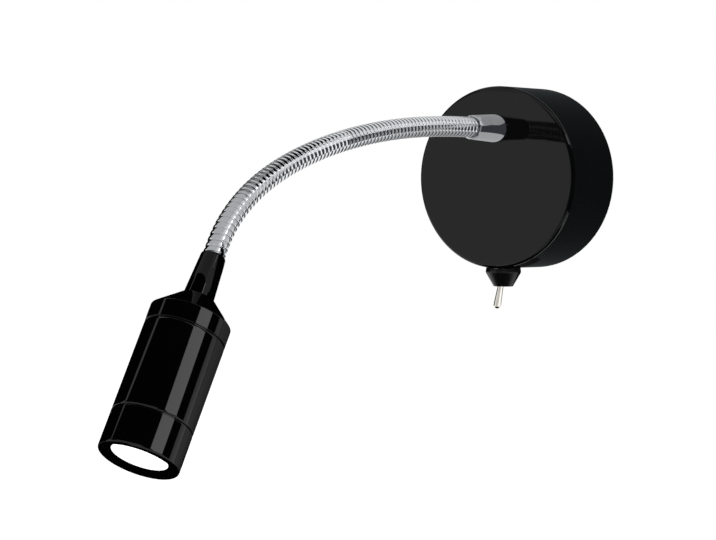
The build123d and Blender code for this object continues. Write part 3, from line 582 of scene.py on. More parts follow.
@dataclass(frozen=True)
class Lathe:
    """Turns outlines round an axis."""

    foot: Point
    axis: Point
    around: int = 144
    arc_steps: int = 8
    hold: float = 0.12
    straight: float = 1e-4
    crease: float = 32.0

    def outline(self, corners: Sequence[Corner]) -> np.ndarray:
        """A closed outline with its rounds, and with a point beside each that holds the flats flat.

        Args:
            corners: The corners, in order.

        Returns:
            Radius and height of each point.
        """
        places = np.array([(corner.radius, corner.height) for corner in corners])
        points: list[np.ndarray] = []
        for number, corner in enumerate(corners):
            here = places[number]
            into, out = here - places[number - 1], places[(number + 1) % len(corners)] - here
            into_length, out_length = np.linalg.norm(into), np.linalg.norm(out)
            into, out = into / into_length, out / out_length
            turn = math.acos(float(np.clip(into @ out, -1, 1)))
            if not corner.round or turn < self.straight:
                points.append(here)
                continue
            setback = corner.round * math.tan(turn / 2)
            steps = max(2, round(self.arc_steps * turn / (math.pi / 2)))
            square = out - into * (into @ out)
            centre = here - into * setback + corner.round * square / np.linalg.norm(square)
            spoke = here - into * setback - centre
            if into_length > setback + 2 * self.hold:
                points.append(here - into * (setback + self.hold))
            for step in range(steps + 1):
                angle = turn * step / steps
                points.append(centre + spoke * math.cos(angle) + corner.round * into * math.sin(angle))
            if out_length > setback + 2 * self.hold:
                points.append(here + out * (setback + self.hold))
        return np.array(points)

    def turn(self, name: str, corners: Sequence[Corner]) -> bpy.types.Object:
        """Turns a closed outline into a piece.

        Args:
            name: Name of the piece.
            corners: The outline's corners, none of them on the axis.

        Returns:
            The piece.
        """
        outline = self.outline(corners)
        axis = np.array(self.axis) / np.linalg.norm(self.axis)
        side = np.array([1.0, 0.0, 0.0])
        up = np.cross(axis, side)
        angles = np.linspace(0, 2 * math.pi, self.around, endpoint=False)
        spokes = np.cos(angles)[:, None] * side + np.sin(angles)[:, None] * up
        radius, height = outline[:, 0], outline[:, 1]
        points = spokes[:, None, :] * radius[None, :, None] + height[None, :, None] * axis
        points = (points + np.array(self.foot)).reshape(-1, 3) * MM
        rows = len(outline)
        faces = []
        for ring in range(self.around):
            here, after = ring * rows, (ring + 1) % self.around * rows
            for row in range(rows):
                below = (row + 1) % rows
                faces.append((here + row, after + row, after + below, here + below))
        piece = new_piece(name, points, faces)
        shape = bmesh.new()
        shape.from_mesh(piece.data)
        bmesh.ops.recalc_face_normals(shape, faces=shape.faces)
        shape.to_mesh(piece.data)
        shape.free()
        piece.data.set_sharp_from_angle(angle=math.radians(self.crease))
        return piece


# ---------------------------------------------------------------- neck


@dataclass(frozen=True)
class NeckLine:
    """The neck's centreline: straight links, rounded at each hinge from mid-link to mid-link."""

    start: Point = (0.0, -54.0, 21.4)
    drop: float = 59.5
    early_power: float = 1.235
    late_power: float = 7.0
    late_share: float = 0.546
    links: int = 19
    pitch: float = 2.555
    pitches_per_link: int = 4

    @property
    def link_length(self) -> float:
        """Length of one link."""
        return self.pitch * self.pitches_per_link

    def heading(self, link: int) -> float:
        """How far a link points down from level, in radians."""
        along = link / (self.links - 1)
        early = (1 - self.late_share) * along**self.early_power
        return math.radians(self.drop * (early + self.late_share * along**self.late_power))

    @staticmethod
    def ahead(heading: np.ndarray) -> np.ndarray:
        """Direction of travel at a heading."""
        return np.stack([0 * heading, -np.cos(heading), -np.sin(heading)], -1)

    @staticmethod
    def above(heading: np.ndarray) -> np.ndarray:
        """Direction square to travel, on the upper side, at a heading."""
        return np.stack([0 * heading, -np.sin(heading), np.cos(heading)], -1)

    def hinges(self) -> np.ndarray:
        """The neck's start, its hinges and its end, one row each."""
        headings = np.array([self.heading(link) for link in range(self.links)])
        steps = self.link_length * self.ahead(headings)
        return np.concatenate([[self.start], self.start + np.cumsum(steps, 0)])

    def at(self, turns: np.ndarray) -> tuple[np.ndarray, np.ndarray]:
        """Points and headings along the line.

        Args:
            turns: Distances from the start, in pitches.

        Returns:
            The points and the headings there.
        """
        turns = np.asarray(turns, float)
        half = self.pitches_per_link / 2
        hinge = np.clip(np.floor((turns + half) / self.pitches_per_link), 1, self.links - 1)
        hinge = hinge.astype(int)
        headings = np.array([self.heading(link) for link in range(self.links)])
        corners = self.hinges()
        before, after = headings[hinge - 1], headings[hinge]
        first = hinge * self.pitches_per_link - half
        share = (turns - first) / self.pitches_per_link
        inside = np.clip(share, 0, 1)
        heading = before + inside * (after - before)
        radius = self.link_length / 2 / np.tan((after - before) / 2)
        middle = (corners[hinge - 1] + corners[hinge]) / 2
        swing = self.above(heading) - self.above(before)
        beyond = (share - inside) * self.link_length
        points = middle + radius[..., None] * swing + beyond[..., None] * self.ahead(heading)
        return points, heading

    def bodies(self, hinge: int) -> tuple[str, str]:
        """Names of the bodies before and after a hinge."""
        last = self.links - 1
        before = "base" if hinge == 1 else f"neck_{hinge:02d}"
        after = "head" if hinge == last else f"neck_{hinge + 1:02d}"
        return before, after

    def bend_hinges(self) -> list[int]:
        """Hinges that bend up and down, where the neck's pieces are cut; the ones between them sway."""
        return list(range(1, self.links, 2))

    def fasten(self, piece: bpy.types.Object, part: int, reach: float) -> None:
        """Makes part 0 ride the base; any other part only has its placing baked into its mesh.

        Args:
            piece: The finished piece.
            part: The part's number, half of its hinge's.
            reach: Not used.
        """
        if part == 0:
            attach(piece, "base")
            return
        number = 2 * part
        (middle,) = self.ahead(self.at(np.array([number * self.pitches_per_link]))[1])
        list(self.bodies(number))
        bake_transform(piece)


@dataclass(frozen=True)
class Hose:
    """The neck's ribbed tube: one ribbon wound round the line, cut at each hinge that bends."""

    line: NeckLine
    crest_radius: float = 4.4
    bore_radius: float = 2.4
    groove_depth: float = 0.36
    groove_width: float = 0.1
    groove_power: float = 4.0
    bent_width: float = 0.11
    bent_from: float = 38.0
    bent_full: float = 62.0
    bent_lean: float = 0.9
    crest_bulge: float = 0.018
    around: int = 48
    ahead_turns: float = 7.0
    end_turns: float = 79.0
    cut_turns: float = 0.5
    bend_reach: float = 3.5

    def shares(self) -> np.ndarray:
        """Places of the ribbon's rows across one pitch, from 0, closer together near its edges."""
        half = np.array([0, 0.035, 0.07, 0.105, 0.14, 0.18, 0.23, 0.3, 0.39])
        return np.concatenate([half, [0.5], 1 - half[:0:-1]])

    def width(self, column: np.ndarray) -> np.ndarray:
        """Half width of the groove: wider where the bend pulls the turns apart on its outside."""
        bent = (column / self.around - self.bent_from) / (self.bent_full - self.bent_from)
        outside = np.maximum(np.cos(2 * math.pi * column / self.around - self.bent_lean), 0)
        return self.groove_width + self.bent_width * np.clip(bent, 0, 1) * outside

    def radius(self, column: np.ndarray, share: np.ndarray) -> np.ndarray:
        """Radius of the ribbon at a place across the pitch."""
        edge = np.abs(share - np.round(share))
        groove = self.groove_depth / (1 + (edge / self.width(column)) ** self.groove_power)
        return self.crest_radius - groove - self.crest_bulge * (1 - 2 * edge) ** 2

    def skin(self, column: np.ndarray, share: np.ndarray) -> np.ndarray:
        """Points on the outside.

        Args:
            column: Steps round the ribbon's winding.
            share: Places across the pitch.

        Returns:
            The points, in millimetres.
        """
        return self._ring(column, share, self.radius(column, share))

    def _ring(self, column: np.ndarray, share: np.ndarray, radius: np.ndarray) -> np.ndarray:
        """Points at a radius from the line, on the winding."""
        angle = -2 * math.pi * column / self.around
        centre, heading = self.line.at(column / self.around + share)
        up = NeckLine.above(heading) * np.cos(angle)[..., None]
        side = np.array([1.0, 0.0, 0.0]) * np.sin(angle)[..., None]
        return centre + radius[..., None] * (up + side)

    def normals(self, column: np.ndarray, share: np.ndarray) -> np.ndarray:
        """Outward directions on the outside.

        Args:
            column: Steps round the ribbon's winding.
            share: Places across the pitch.

        Returns:
            Unit directions.
        """
        step, tick = 0.05, 0.004
        round_way = self.skin(column + step, share) - self.skin(column - step, share)
        long_way = self.skin(column, share + tick) - self.skin(column, share - tick)
        out = np.cross(round_way, long_way)
        return out / np.linalg.norm(out, axis=-1, keepdims=True)

    def cuts(self) -> list[int]:
        """Columns where one part ends and the next starts."""
        hinges = self.line.bend_hinges()
        turns = [self.line.pitches_per_link * hinge - self.cut_turns for hinge in hinges]
        ends = [-self.ahead_turns, *turns, self.end_turns - 1]
        return [round(turn * self.around) for turn in ends]

    def part(self, name: str, first: int, last: int) -> bpy.types.Object:
        """One closed length of ribbon.

        Args:
            name: Name of the piece.
            first: Its first column.
            last: Its last column.

        Returns:
            The piece.
        """
        shares = self.shares()
        rows, turn = len(shares), self.around
        columns = np.arange(first, last + 1)
        column, share = (a.ravel() for a in np.meshgrid(columns, shares, indexing="ij"))
        lip = np.arange(last + 1, last + turn + 1)
        column = np.concatenate([column, lip]).astype(float)
        share = np.concatenate([share, np.zeros(turn)])
        bore = np.arange(first, last + turn + 1).astype(float)
        inner = self._ring(bore, 0 * bore, np.full(len(bore), self.bore_radius))
        points = np.concatenate([self.skin(column, share), inner]) * MM
        angle = -2 * math.pi * bore / turn
        inward = -NeckLine.above(self.line.at(bore / turn)[1]) * np.cos(angle)[:, None]
        inward -= np.array([1.0, 0.0, 0.0]) * np.sin(angle)[:, None]
        normals = np.concatenate([self.normals(column, share), inward])
        full = (last - first + 1) * rows

        def outside(at: int, row: int) -> int:
            """Number of a point on the outside."""
            if row == rows:
                at, row = at + turn, 0
            return (at - first) * rows + row if at <= last else full + at - last - 1

        def inside(at: int) -> int:
            """Number of a point in the bore."""
            return full + turn + at - first

        faces = []
        for at in range(first, last):
            for row in range(rows):
                corners = ((at, row), (at + 1, row), (at + 1, row + 1), (at, row + 1))
                faces.append([outside(*corner) for corner in corners])
            faces.append((inside(at), inside(at + turn), inside(at + turn + 1), inside(at + 1)))
        for at in range(first, first + turn):
            faces.append((outside(at, 0), inside(at), inside(at + 1), outside(at + 1, 0)))
        for at in range(last, last + turn):
            faces.append((outside(at, 0), outside(at + 1, 0), inside(at + 1), inside(at)))
        foot = [outside(first, row) for row in range(rows + 1)]
        head = [outside(last, row) for row in range(rows, -1, -1)]
        faces.append([*foot, inside(first + turn), inside(first)])
        faces.append([inside(last), inside(last + turn), *head])
        piece = new_piece(name, points, faces)
        piece.data.normals_split_custom_set_from_vertices(normals.tolist())
        return piece

    def build(self, wardrobe: Wardrobe) -> None:
        """Builds every part and hides the CAD links it stands for; the first part rides the base, the
        others stay loose. A part stands for the links on both sides of its hinge.

        Args:
            wardrobe: The finishes.
        """
        cuts = self.cuts()
        for number, (first, last) in enumerate(zip(cuts, cuts[1:])):
            piece = self.part(f"gooseneck_{number:02d}", first, last)
            wardrobe.dress(piece, Slot.CHROME)
            links = (2 * number, 2 * number + 1) if number else (1,)
            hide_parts(*(f"neck_link_{link:02d}" for link in links))
            self.line.fasten(piece, number, self.bend_reach)
            LOG.info("gooseneck part %d: %d points", number, len(piece.data.vertices))


@dataclass(frozen=True)
class NeckLead:
    """The lead inside the neck, cut where the neck's pieces are cut."""

    line: NeckLine
    node: str = "neck_lead"
    bend_reach: float = 3.5
    weld: float = 0.001
    crease: float = 40.0

    def build(self, wardrobe: Wardrobe) -> None:
        """Cuts the lead at each bending hinge; the first piece rides the base, the others stay loose.

        Args:
            wardrobe: The finishes.
        """
        turns = np.array([self.line.pitches_per_link * hinge for hinge in self.line.bend_hinges()])
        centres, headings = self.line.at(turns)
        planes = list(zip(centres * MM, NeckLine.ahead(headings)))
        for number in range(len(planes) + 1):
            before = planes[number - 1] if number else None
            after = planes[number] if number < len(planes) else None
            piece = self._length(number, before, after)
            wardrobe.dress(piece, Slot.LEAD_CLEAR)
            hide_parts(self.node)
            self.line.fasten(piece, number, self.bend_reach)
        LOG.info("neck lead: %d pieces", len(planes) + 1)

    def _length(
        self, number: int, before: Optional[Plane], after: Optional[Plane]
    ) -> bpy.types.Object:
        """One length of the lead, closed at its cuts.

        Args:
            number: The length's number.
            before: Point and direction of the plane it starts at.
            after: Point and direction of the plane it ends at.

        Returns:
            The piece.
        """
        shape = bmesh.new()
        shape.from_mesh(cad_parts[self.node].data)
        bmesh.ops.remove_doubles(shape, verts=shape.verts, dist=self.weld * MM)
        for plane, way in ((before, -1), (after, 1)):
            if plane is None:
                continue
            geometry = [*shape.verts, *shape.edges, *shape.faces]
            point, ahead = (Vector(part) for part in plane)
            bmesh.ops.bisect_plane(
                shape, geom=geometry, plane_co=point, plane_no=ahead * way, clear_outer=True
            )
            open_edges = [edge for edge in shape.edges if edge.is_boundary]
            bmesh.ops.holes_fill(shape, edges=open_edges, sides=0)
        bmesh.ops.recalc_face_normals(shape, faces=shape.faces)
        name = f"neck_lead_{number:02d}"
        mesh = bpy.data.meshes.new(name)
        shape.to_mesh(mesh)
        shape.free()
        mesh.polygons.foreach_set("use_smooth", [True] * len(mesh.polygons))
        mesh.set_sharp_from_angle(angle=math.radians(self.crease))
        piece = bpy.data.objects.new(name, mesh)
        bpy.context.scene.collection.objects.link(piece)
        return piece


# ---------------------------------------------------------------- head and switch


@dataclass(frozen=True)
class LampHead:
    """The head's cap, barrel and bezel, with softened edges at their grooves, and its lens."""

    line: NeckLine
    hose_bore: float = 4.5
    mouth_radius: float = 4.95
    mouth_chamfer: float = 0.6
    foot_radius: float = 6.0
    shoulder: float = 18.3
    shoulder_radius: float = 6.7
    barrel: float = 26.9
    radius: float = 15.9
    body: float = 34.4
    bezel: float = 70.8
    front: float = 86.95
    groove_half: float = 0.35
    groove_depth: float = 0.45
    edge_length: float = 1.15
    edge_steps: int = 9
    skirt_radius: float = 13.95
    skirt_bore: float = 12.85
    barrel_bore: float = 14.0
    skirt_length: float = 5.0
    web: float = 9.165
    web_end: float = 12.665
    stud_hole: float = 3.05
    nut_bore: float = 4.6
    inset: float = 1.482
    lens_recess: float = 2.6
    lens_shown: float = 11.1
    lens_radius: float = 12.6
    lens_back: float = 83.5
    lens_depth: float = 2.0
    lens_dome: float = 0.25
    lens_gap: float = 0.04
    dish_radius: float = 14.5
    dish_foot: float = 13.0
    front_round: float = 1.4

    def _lathe(self) -> Lathe:
        """The lathe on the head's axis."""
        (ahead,) = NeckLine.ahead(np.array([self.line.heading(self.line.links - 1)]))
        return Lathe(tuple(self.line.hinges()[-1]), tuple(ahead))

    def _soft_edge(self, start: float, way: int) -> list[Corner]:
        """The barrel's softened edge at a groove.

        Args:
            start: Height of the groove's middle.
            way: 1 where the barrel lies above it, -1 below.

        Returns:
            Corners from the groove's bottom to the barrel's full radius.
        """
        angles = [math.pi / 2 * step / self.edge_steps for step in range(self.edge_steps + 1)]
        base = self.radius - self.groove_depth
        return [
            Corner(
                base + self.groove_depth * math.sin(angle),
                start + way * self.edge_length * (1 - math.cos(angle)),
            )
            for angle in angles
        ]

    def build(self, wardrobe: Wardrobe) -> None:
        """Builds the cap, the barrel, the bezel and the lens.

        Args:
            wardrobe: The finishes.
        """
        inner = self.radius - self.groove_depth
        cap = (
            Corner(self.hose_bore, 0),
            Corner(self.mouth_radius - self.mouth_chamfer / 2, 0, 0.12),
            Corner(self.mouth_radius, self.mouth_chamfer, 0.5),
            Corner(self.foot_radius, self.shoulder, 0.15),
            Corner(self.shoulder_radius, self.shoulder, 0.6),
            Corner(self.radius, self.barrel, 0.6),
            Corner(self.radius, self.body - self.groove_half, 0.2),
            Corner(inner, self.body - self.groove_half),
            Corner(inner, self.body),
            Corner(self.skirt_radius, self.body),
            Corner(self.skirt_radius, self.body + self.skirt_length),
            Corner(self.skirt_bore, self.body + self.skirt_length),
            Corner(self.skirt_bore, self.barrel + self.inset),
            Corner(self.nut_bore, self.shoulder + self.inset),
            Corner(self.nut_bore, self.web_end),
            Corner(self.stud_hole, self.web_end),
            Corner(self.stud_hole, self.web),
            Corner(self.hose_bore, self.web),
        )
        body = (
            Corner(self.barrel_bore, self.body),
            *self._soft_edge(self.body, 1),
            *reversed(self._soft_edge(self.bezel, -1)),
            Corner(self.barrel_bore, self.bezel),
        )
        lens_run = self.front - self.lens_recess
        bezel = (
            Corner(self.skirt_bore, self.bezel - self.skirt_length),
            Corner(self.skirt_radius, self.bezel - self.skirt_length),
            Corner(self.skirt_radius, self.bezel),
            Corner(inner, self.bezel),
            Corner(inner, self.bezel + self.groove_half),
            Corner(self.radius, self.bezel + self.groove_half, 0.25),
            Corner(self.radius, self.front, self.front_round),
            Corner(self.dish_radius, self.front, 0.4),
            Corner(self.dish_foot, self.front - self.lens_depth, 0.3),
            Corner(self.lens_shown + self.lens_gap, self.front - self.lens_depth, 0.1),
            Corner(self.lens_shown + self.lens_gap, lens_run),
            Corner(self.skirt_bore, lens_run),
        )
        lathe = self._lathe()
        for name, node, corners in (
            ("cap_shell", "head_cap", cap),
            ("barrel_shell", "head_body", body),
            ("bezel_ring", "head_bezel", bezel),
        ):
            piece = lathe.turn(name, corners)
            wardrobe.dress(piece, Slot.GLOSS_BLACK)
            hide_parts(node)
            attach(piece, "head")
            LOG.info("%s: %d points", name, len(piece.data.vertices))
        self._lens(lathe, lens_run).build(wardrobe)

    def _lens(self, lathe: Lathe, shelf: float) -> "LensDisc":
        """The lens, which steps in at the shelf's height to fill the bezel's opening."""
        return LensDisc(
            lathe=lathe,
            back=self.lens_back,
            shelf=shelf,
            rim=self.front - self.lens_depth,
            flange_radius=self.lens_radius,
            radius=self.lens_shown,
            dome=self.lens_dome,
        )


@dataclass(frozen=True)
class LensDisc:
    """The frosted disc: a flange under the bezel's lip and a slightly domed face in its opening."""

    lathe: Lathe
    back: float
    shelf: float
    rim: float
    flange_radius: float
    radius: float
    dome: float
    rings: int = 10
    eye: float = 0.02

    def build(self, wardrobe: Wardrobe) -> None:
        """Builds the disc.

        Args:
            wardrobe: The finishes.
        """
        shares = [1 - step / self.rings for step in range(1, self.rings)]
        face = [Corner(self.radius * share, self.rim + self.dome * (1 - share**2)) for share in shares]
        corners = (
            Corner(self.eye, self.back),
            Corner(self.flange_radius, self.back, 0.1),
            Corner(self.flange_radius, self.shelf, 0.1),
            Corner(self.radius, self.shelf),
            Corner(self.radius, self.rim, 0.1),
            *face,
            Corner(self.eye, self.rim + self.dome),
        )
        piece = self.lathe.turn("lens_disc", corners)
        wardrobe.dress(piece, Slot.LENS_WHITE)
        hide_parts("lens")
        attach(piece, "head")
        LOG.info("lens disc: %d points", len(piece.data.vertices))


@dataclass(frozen=True)
class FerruleCup:
    """The tapered cup at the neck's foot, its mouth turned in to the hose."""

    line: NeckLine
    length: float = 20.0
    flange_radius: float = 5.0
    step: float = 2.1
    foot: float = 6.15
    chamfer: float = 0.5
    mouth: float = 5.2
    mouth_round: float = 0.36
    lip: float = 4.43
    lip_length: float = 0.7
    bore: float = 4.5

    def build(self, wardrobe: Wardrobe) -> None:
        """Builds the cup.

        Args:
            wardrobe: The finishes.
        """
        x, y, z = self.line.start
        lathe = Lathe((x, y + self.length, z), (0.0, -1.0, 0.0), around=96)
        corners = (
            Corner(self.flange_radius, 0),
            Corner(self.foot - self.chamfer, 0, 0.1),
            Corner(self.foot, self.chamfer, 0.3),
            Corner(self.mouth, self.length, self.mouth_round),
            Corner(self.lip, self.length, 0.3),
            Corner(self.lip, self.length - self.lip_length),
            Corner(self.bore, self.length - self.lip_length),
            Corner(self.bore, self.step),
            Corner(self.flange_radius, self.step),
        )
        piece = lathe.turn("ferrule_cup", corners)
        wardrobe.dress(piece, Slot.CHROME)
        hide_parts("neck_ferrule")
        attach(piece, "base")
        LOG.info("ferrule cup: %d points", len(piece.data.vertices))


@dataclass(frozen=True)
class DressNut:
    """The cone-shaped nut under the base, with a lip that follows the drum and hides the washer."""

    depth: float = 26.5
    drum_radius: float = 40.0
    gap: float = 0.05
    bore: float = 3.05
    washer_room: float = 6.15
    seat: float = 40.5
    radius: float = 7.9
    lip_radius: float = 7.55
    land: float = 41.7
    land_round: float = 1.6
    tip_radius: float = 4.2
    tip: float = 48.1

    def build(self, wardrobe: Wardrobe) -> None:
        """Builds the nut.

        Args:
            wardrobe: The finishes.
        """
        lip = self.drum_radius
        corners = (
            Corner(self.bore, self.seat),
            Corner(self.washer_room, self.seat),
            Corner(self.washer_room, lip),
            Corner(self.lip_radius, lip, 0.5),
            Corner(self.radius, self.land, self.land_round),
            Corner(self.tip_radius, self.tip, 0.8),
            Corner(self.bore, self.tip, 0.15),
        )
        lathe = Lathe((0.0, -self.depth, 0.0), (0.0, 0.0, -1.0), around=96)
        piece = lathe.turn("dress_nut", corners)
        lip_end = (self.seat - self.gap) * MM
        for vertex in piece.data.vertices:
            if -vertex.co.z < lip_end:
                drum = math.sqrt(self.drum_radius**2 - (vertex.co.x / MM) ** 2) + self.gap
                vertex.co.z -= (drum - self.drum_radius) * MM
        wardrobe.dress(piece, Slot.CAP_BLACK)
        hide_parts("toggle_cap_nut")
        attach(piece, "base")
        LOG.info("dress nut: %d points", len(piece.data.vertices))


# ---------------------------------------------------------------- studio


@dataclass(frozen=True)
class Camera:
    """The camera at the photograph's angle."""

    place: Point = (642.13, -1047.36, -8.76)
    yaw: float = 0.6147
    pitch: float = -0.0271
    roll: float = 0.0088
    focal_px: float = 2729.8
    width_px: float = 716.0
    sensor: float = 36.0
    nearest: float = 0.02
    farthest: float = 60.0

    def build(self) -> None:
        """Makes the scene's camera."""
        forward = Vector(
            (
                -math.sin(self.yaw) * math.cos(self.pitch),
                math.cos(self.yaw) * math.cos(self.pitch),
                math.sin(self.pitch),
            )
        )
        level = Vector((math.cos(self.yaw), math.sin(self.yaw), 0))
        upright = level.cross(forward)
        right = math.cos(self.roll) * level + math.sin(self.roll) * upright
        up = math.cos(self.roll) * upright - math.sin(self.roll) * level
        data = bpy.data.cameras.new("camera")
        data.sensor_width = self.sensor
        data.lens = self.focal_px * self.sensor / self.width_px
        data.clip_start, data.clip_end = self.nearest, self.farthest
        camera = bpy.data.objects.new("camera", data)
        turn = Matrix((right, up, -forward)).transposed().to_4x4()
        camera.matrix_world = Matrix.Translation(Vector(self.place) * MM) @ turn
        bpy.context.scene.collection.objects.link(camera)
        bpy.context.scene.camera = camera


def lit_material(
    name: str, glow: float, tint: RGB = (1.0, 1.0, 1.0), one_sided: bool = False
) -> bpy.types.Material:
    """Makes an evenly lit material.

    Args:
        name: The material's name.
        glow: Its brightness.
        tint: Its colour.
        one_sided: Whether it is clear from behind.

    Returns:
        The material.
    """
    material = bpy.data.materials.new(name)
    graph = Graph(material)
    shader = graph.node("ShaderNodeEmission", inputs={"Color": (*tint, 1.0), "Strength": glow})
    if one_sided:
        behind = graph.node("ShaderNodeNewGeometry", output="Backfacing")
        clear = graph.node("ShaderNodeBsdfTransparent")
        shader = graph.node("ShaderNodeMixShader", inputs={0: behind, 1: shader, 2: clear})
    graph.surface(shader)
    return material


def hide_from_view(piece: bpy.types.Object, lights: bool = False) -> None:
    """Leaves a staged piece to mirrors, and to matt surfaces if it lights them."""
    piece.visible_camera = False
    piece.visible_diffuse = lights
    piece.visible_shadow = False
    piece.visible_transmission = False


@dataclass(frozen=True)
class Panel:
    """A panel on a sphere round a point, which lights the scene or which only mirrors see.

    Azimuth 0 is in front of the lamp and 90 on its right; elevation is above level. In degrees.
    """

    name: str
    azimuths: tuple[float, float]
    elevations: tuple[float, float]
    centre: Point
    glow: float = 0.0
    lights: bool = False
    distance: float = 1900.0
    step: float = 2.5

    def build(self) -> None:
        """Makes the panel."""
        across = self._ticks(*self.azimuths)
        upward = self._ticks(*self.elevations)
        azimuth, elevation = np.radians(np.meshgrid(across, upward, indexing="ij"))
        out = np.stack(
            [
                np.sin(azimuth) * np.cos(elevation),
                -np.cos(azimuth) * np.cos(elevation),
                np.sin(elevation),
            ],
            -1,
        )
        points = (np.array(self.centre) + self.distance * out).reshape(-1, 3) * MM
        tall = len(upward)
        faces = [
            (i * tall + j, i * tall + j + 1, (i + 1) * tall + j + 1, (i + 1) * tall + j)
            for i in range(len(across) - 1)
            for j in range(tall - 1)
        ]
        panel = new_piece(self.name, points, faces)
        panel.data.materials.append(lit_material(self.name, self.glow, one_sided=not self.lights))
        hide_from_view(panel, self.lights)

    def _ticks(self, low: float, high: float) -> np.ndarray:
        """Angles from low to high, about a step apart."""
        return np.linspace(low, high, max(2, round((high - low) / self.step) + 1))


@dataclass(frozen=True)
class Card:
    """A flat card that only mirrors see, lit on the side that faces a point and clear from behind."""

    name: str
    outline: tuple[Point, ...]
    glow: float
    faces: Point
    tint: RGB = (1.0, 1.0, 1.0)

    def build(self) -> None:
        """Makes the card."""
        points = np.array(self.outline, float)
        newell = np.cross(points - points[0], np.roll(points, -1, 0) - points[0]).sum(0)
        if newell @ (np.array(self.faces) - points[0]) < 0:
            points = points[::-1]
        card = new_piece(self.name, points * MM, [list(range(len(points)))])
        card.data.materials.append(lit_material(self.name, self.glow, self.tint, one_sided=True))
        hide_from_view(card)


HEAD_MIDDLE: Point = (0.0, -255.0, -78.0)
NECK_MIDDLE: Point = (0.0, -185.0, 5.0)
BEZEL_MIDDLE: Point = (0.0, -277.0, -107.5)

PANELS = (
    Panel("softbox", (73.5, 104.5), (8, 44), HEAD_MIDDLE, 3.75, lights=True),
    Panel("flag_front", (-52, 62), (20, 75), HEAD_MIDDLE, distance=130),
    Panel("flag_front_left", (-61.5, -40), (20, 60), HEAD_MIDDLE),
    Panel("flag_front_right", (45, 73.5), (8, 60), HEAD_MIDDLE),
    Panel("flag_left", (-130, -68.5), (-12, 45), HEAD_MIDDLE),
    Panel("flag_right", (104.5, 127), (-12, 30), HEAD_MIDDLE),
    Panel("flag_bezel_left", (-180, 0), (-88, 0), BEZEL_MIDDLE, distance=60),
    Panel("flag_bezel_right", (0, 180), (-88, -25), BEZEL_MIDDLE, distance=60),
    Panel("flag_above", (118, 208), (48, 68), NECK_MIDDLE),
    Panel("flag_above_low", (118, 148), (38, 48), NECK_MIDDLE),
    Panel("dusk_left", (208, 262), (33, 68), NECK_MIDDLE, 0.12),
    Panel("dusk_top", (-180, 180), (68, 90), NECK_MIDDLE, 0.32),
    Panel("dusk_right", (88, 118), (48, 68), NECK_MIDDLE, 0.4),
)


def upright(
    left: float, right: float, depth: float, low: float, high: float
) -> tuple[Point, ...]:
    """Corners of an upright rectangle that is level with the wall."""
    return ((left, depth, low), (right, depth, low), (right, depth, high), (left, depth, high))


def drum_cards() -> list[Card]:
    """Pale cards close in front of the drum, with a dark gap beside the ferrule."""
    depth, ahead, arc_points = -34.8, (0.0, -200.0, 20.0), 19
    middle, ferrule, near, disc = 21.4, 6.4, 19.0, 39.5
    upper_edge = ((10.0, 24.5), (14.0, 26.5), (18.0, 25.0), (24.0, 20.0), (30.0, 15.5), (36.0, 12.5))
    lower_edge = ((10.0, 14.5), (14.0, 11.5), (18.0, 7.5), (24.0, 4.5), (30.0, 8.0), (36.0, 12.0))

    def arc(height: float, radius: float, first: float, last: float) -> list[tuple[float, float]]:
        """Points round a centre on the drum from one angle to another, in degrees from its right."""
        angles = np.radians(np.linspace(first, last, arc_points))
        return [(radius * math.cos(a), height + radius * math.sin(a)) for a in angles]

    def card(
        name: str, glow: float, *outline: tuple[float, float], tint: RGB = (1, 1, 1)
    ) -> Card:
        """A card at the drum's front."""
        return Card(name, tuple((x, depth, z) for x, z in outline), glow, ahead, tint)

    upper_mouth, lower_mouth = arc(middle, ferrule, 180, 27), arc(middle, ferrule, 180, 327)
    return [
        card("card_upper_near", 0.35, *upper_mouth, *upper_edge[:3], *arc(middle, near, 15, 180)),
        card("card_upper", 0.78, *arc(middle, near, 180, 15), *upper_edge[3:], *arc(0, disc, 18, 147)),
        card("card_lower", 0.5, *lower_mouth, *lower_edge, *arc(0, disc, 17, -213)),
        card(
            "card_gap",
            0.06,
            *arc(middle, ferrule, 27, -33),
            *lower_edge,
            *reversed(upper_edge),
            tint=(0.85, 0.85, 1),
        ),
    ]


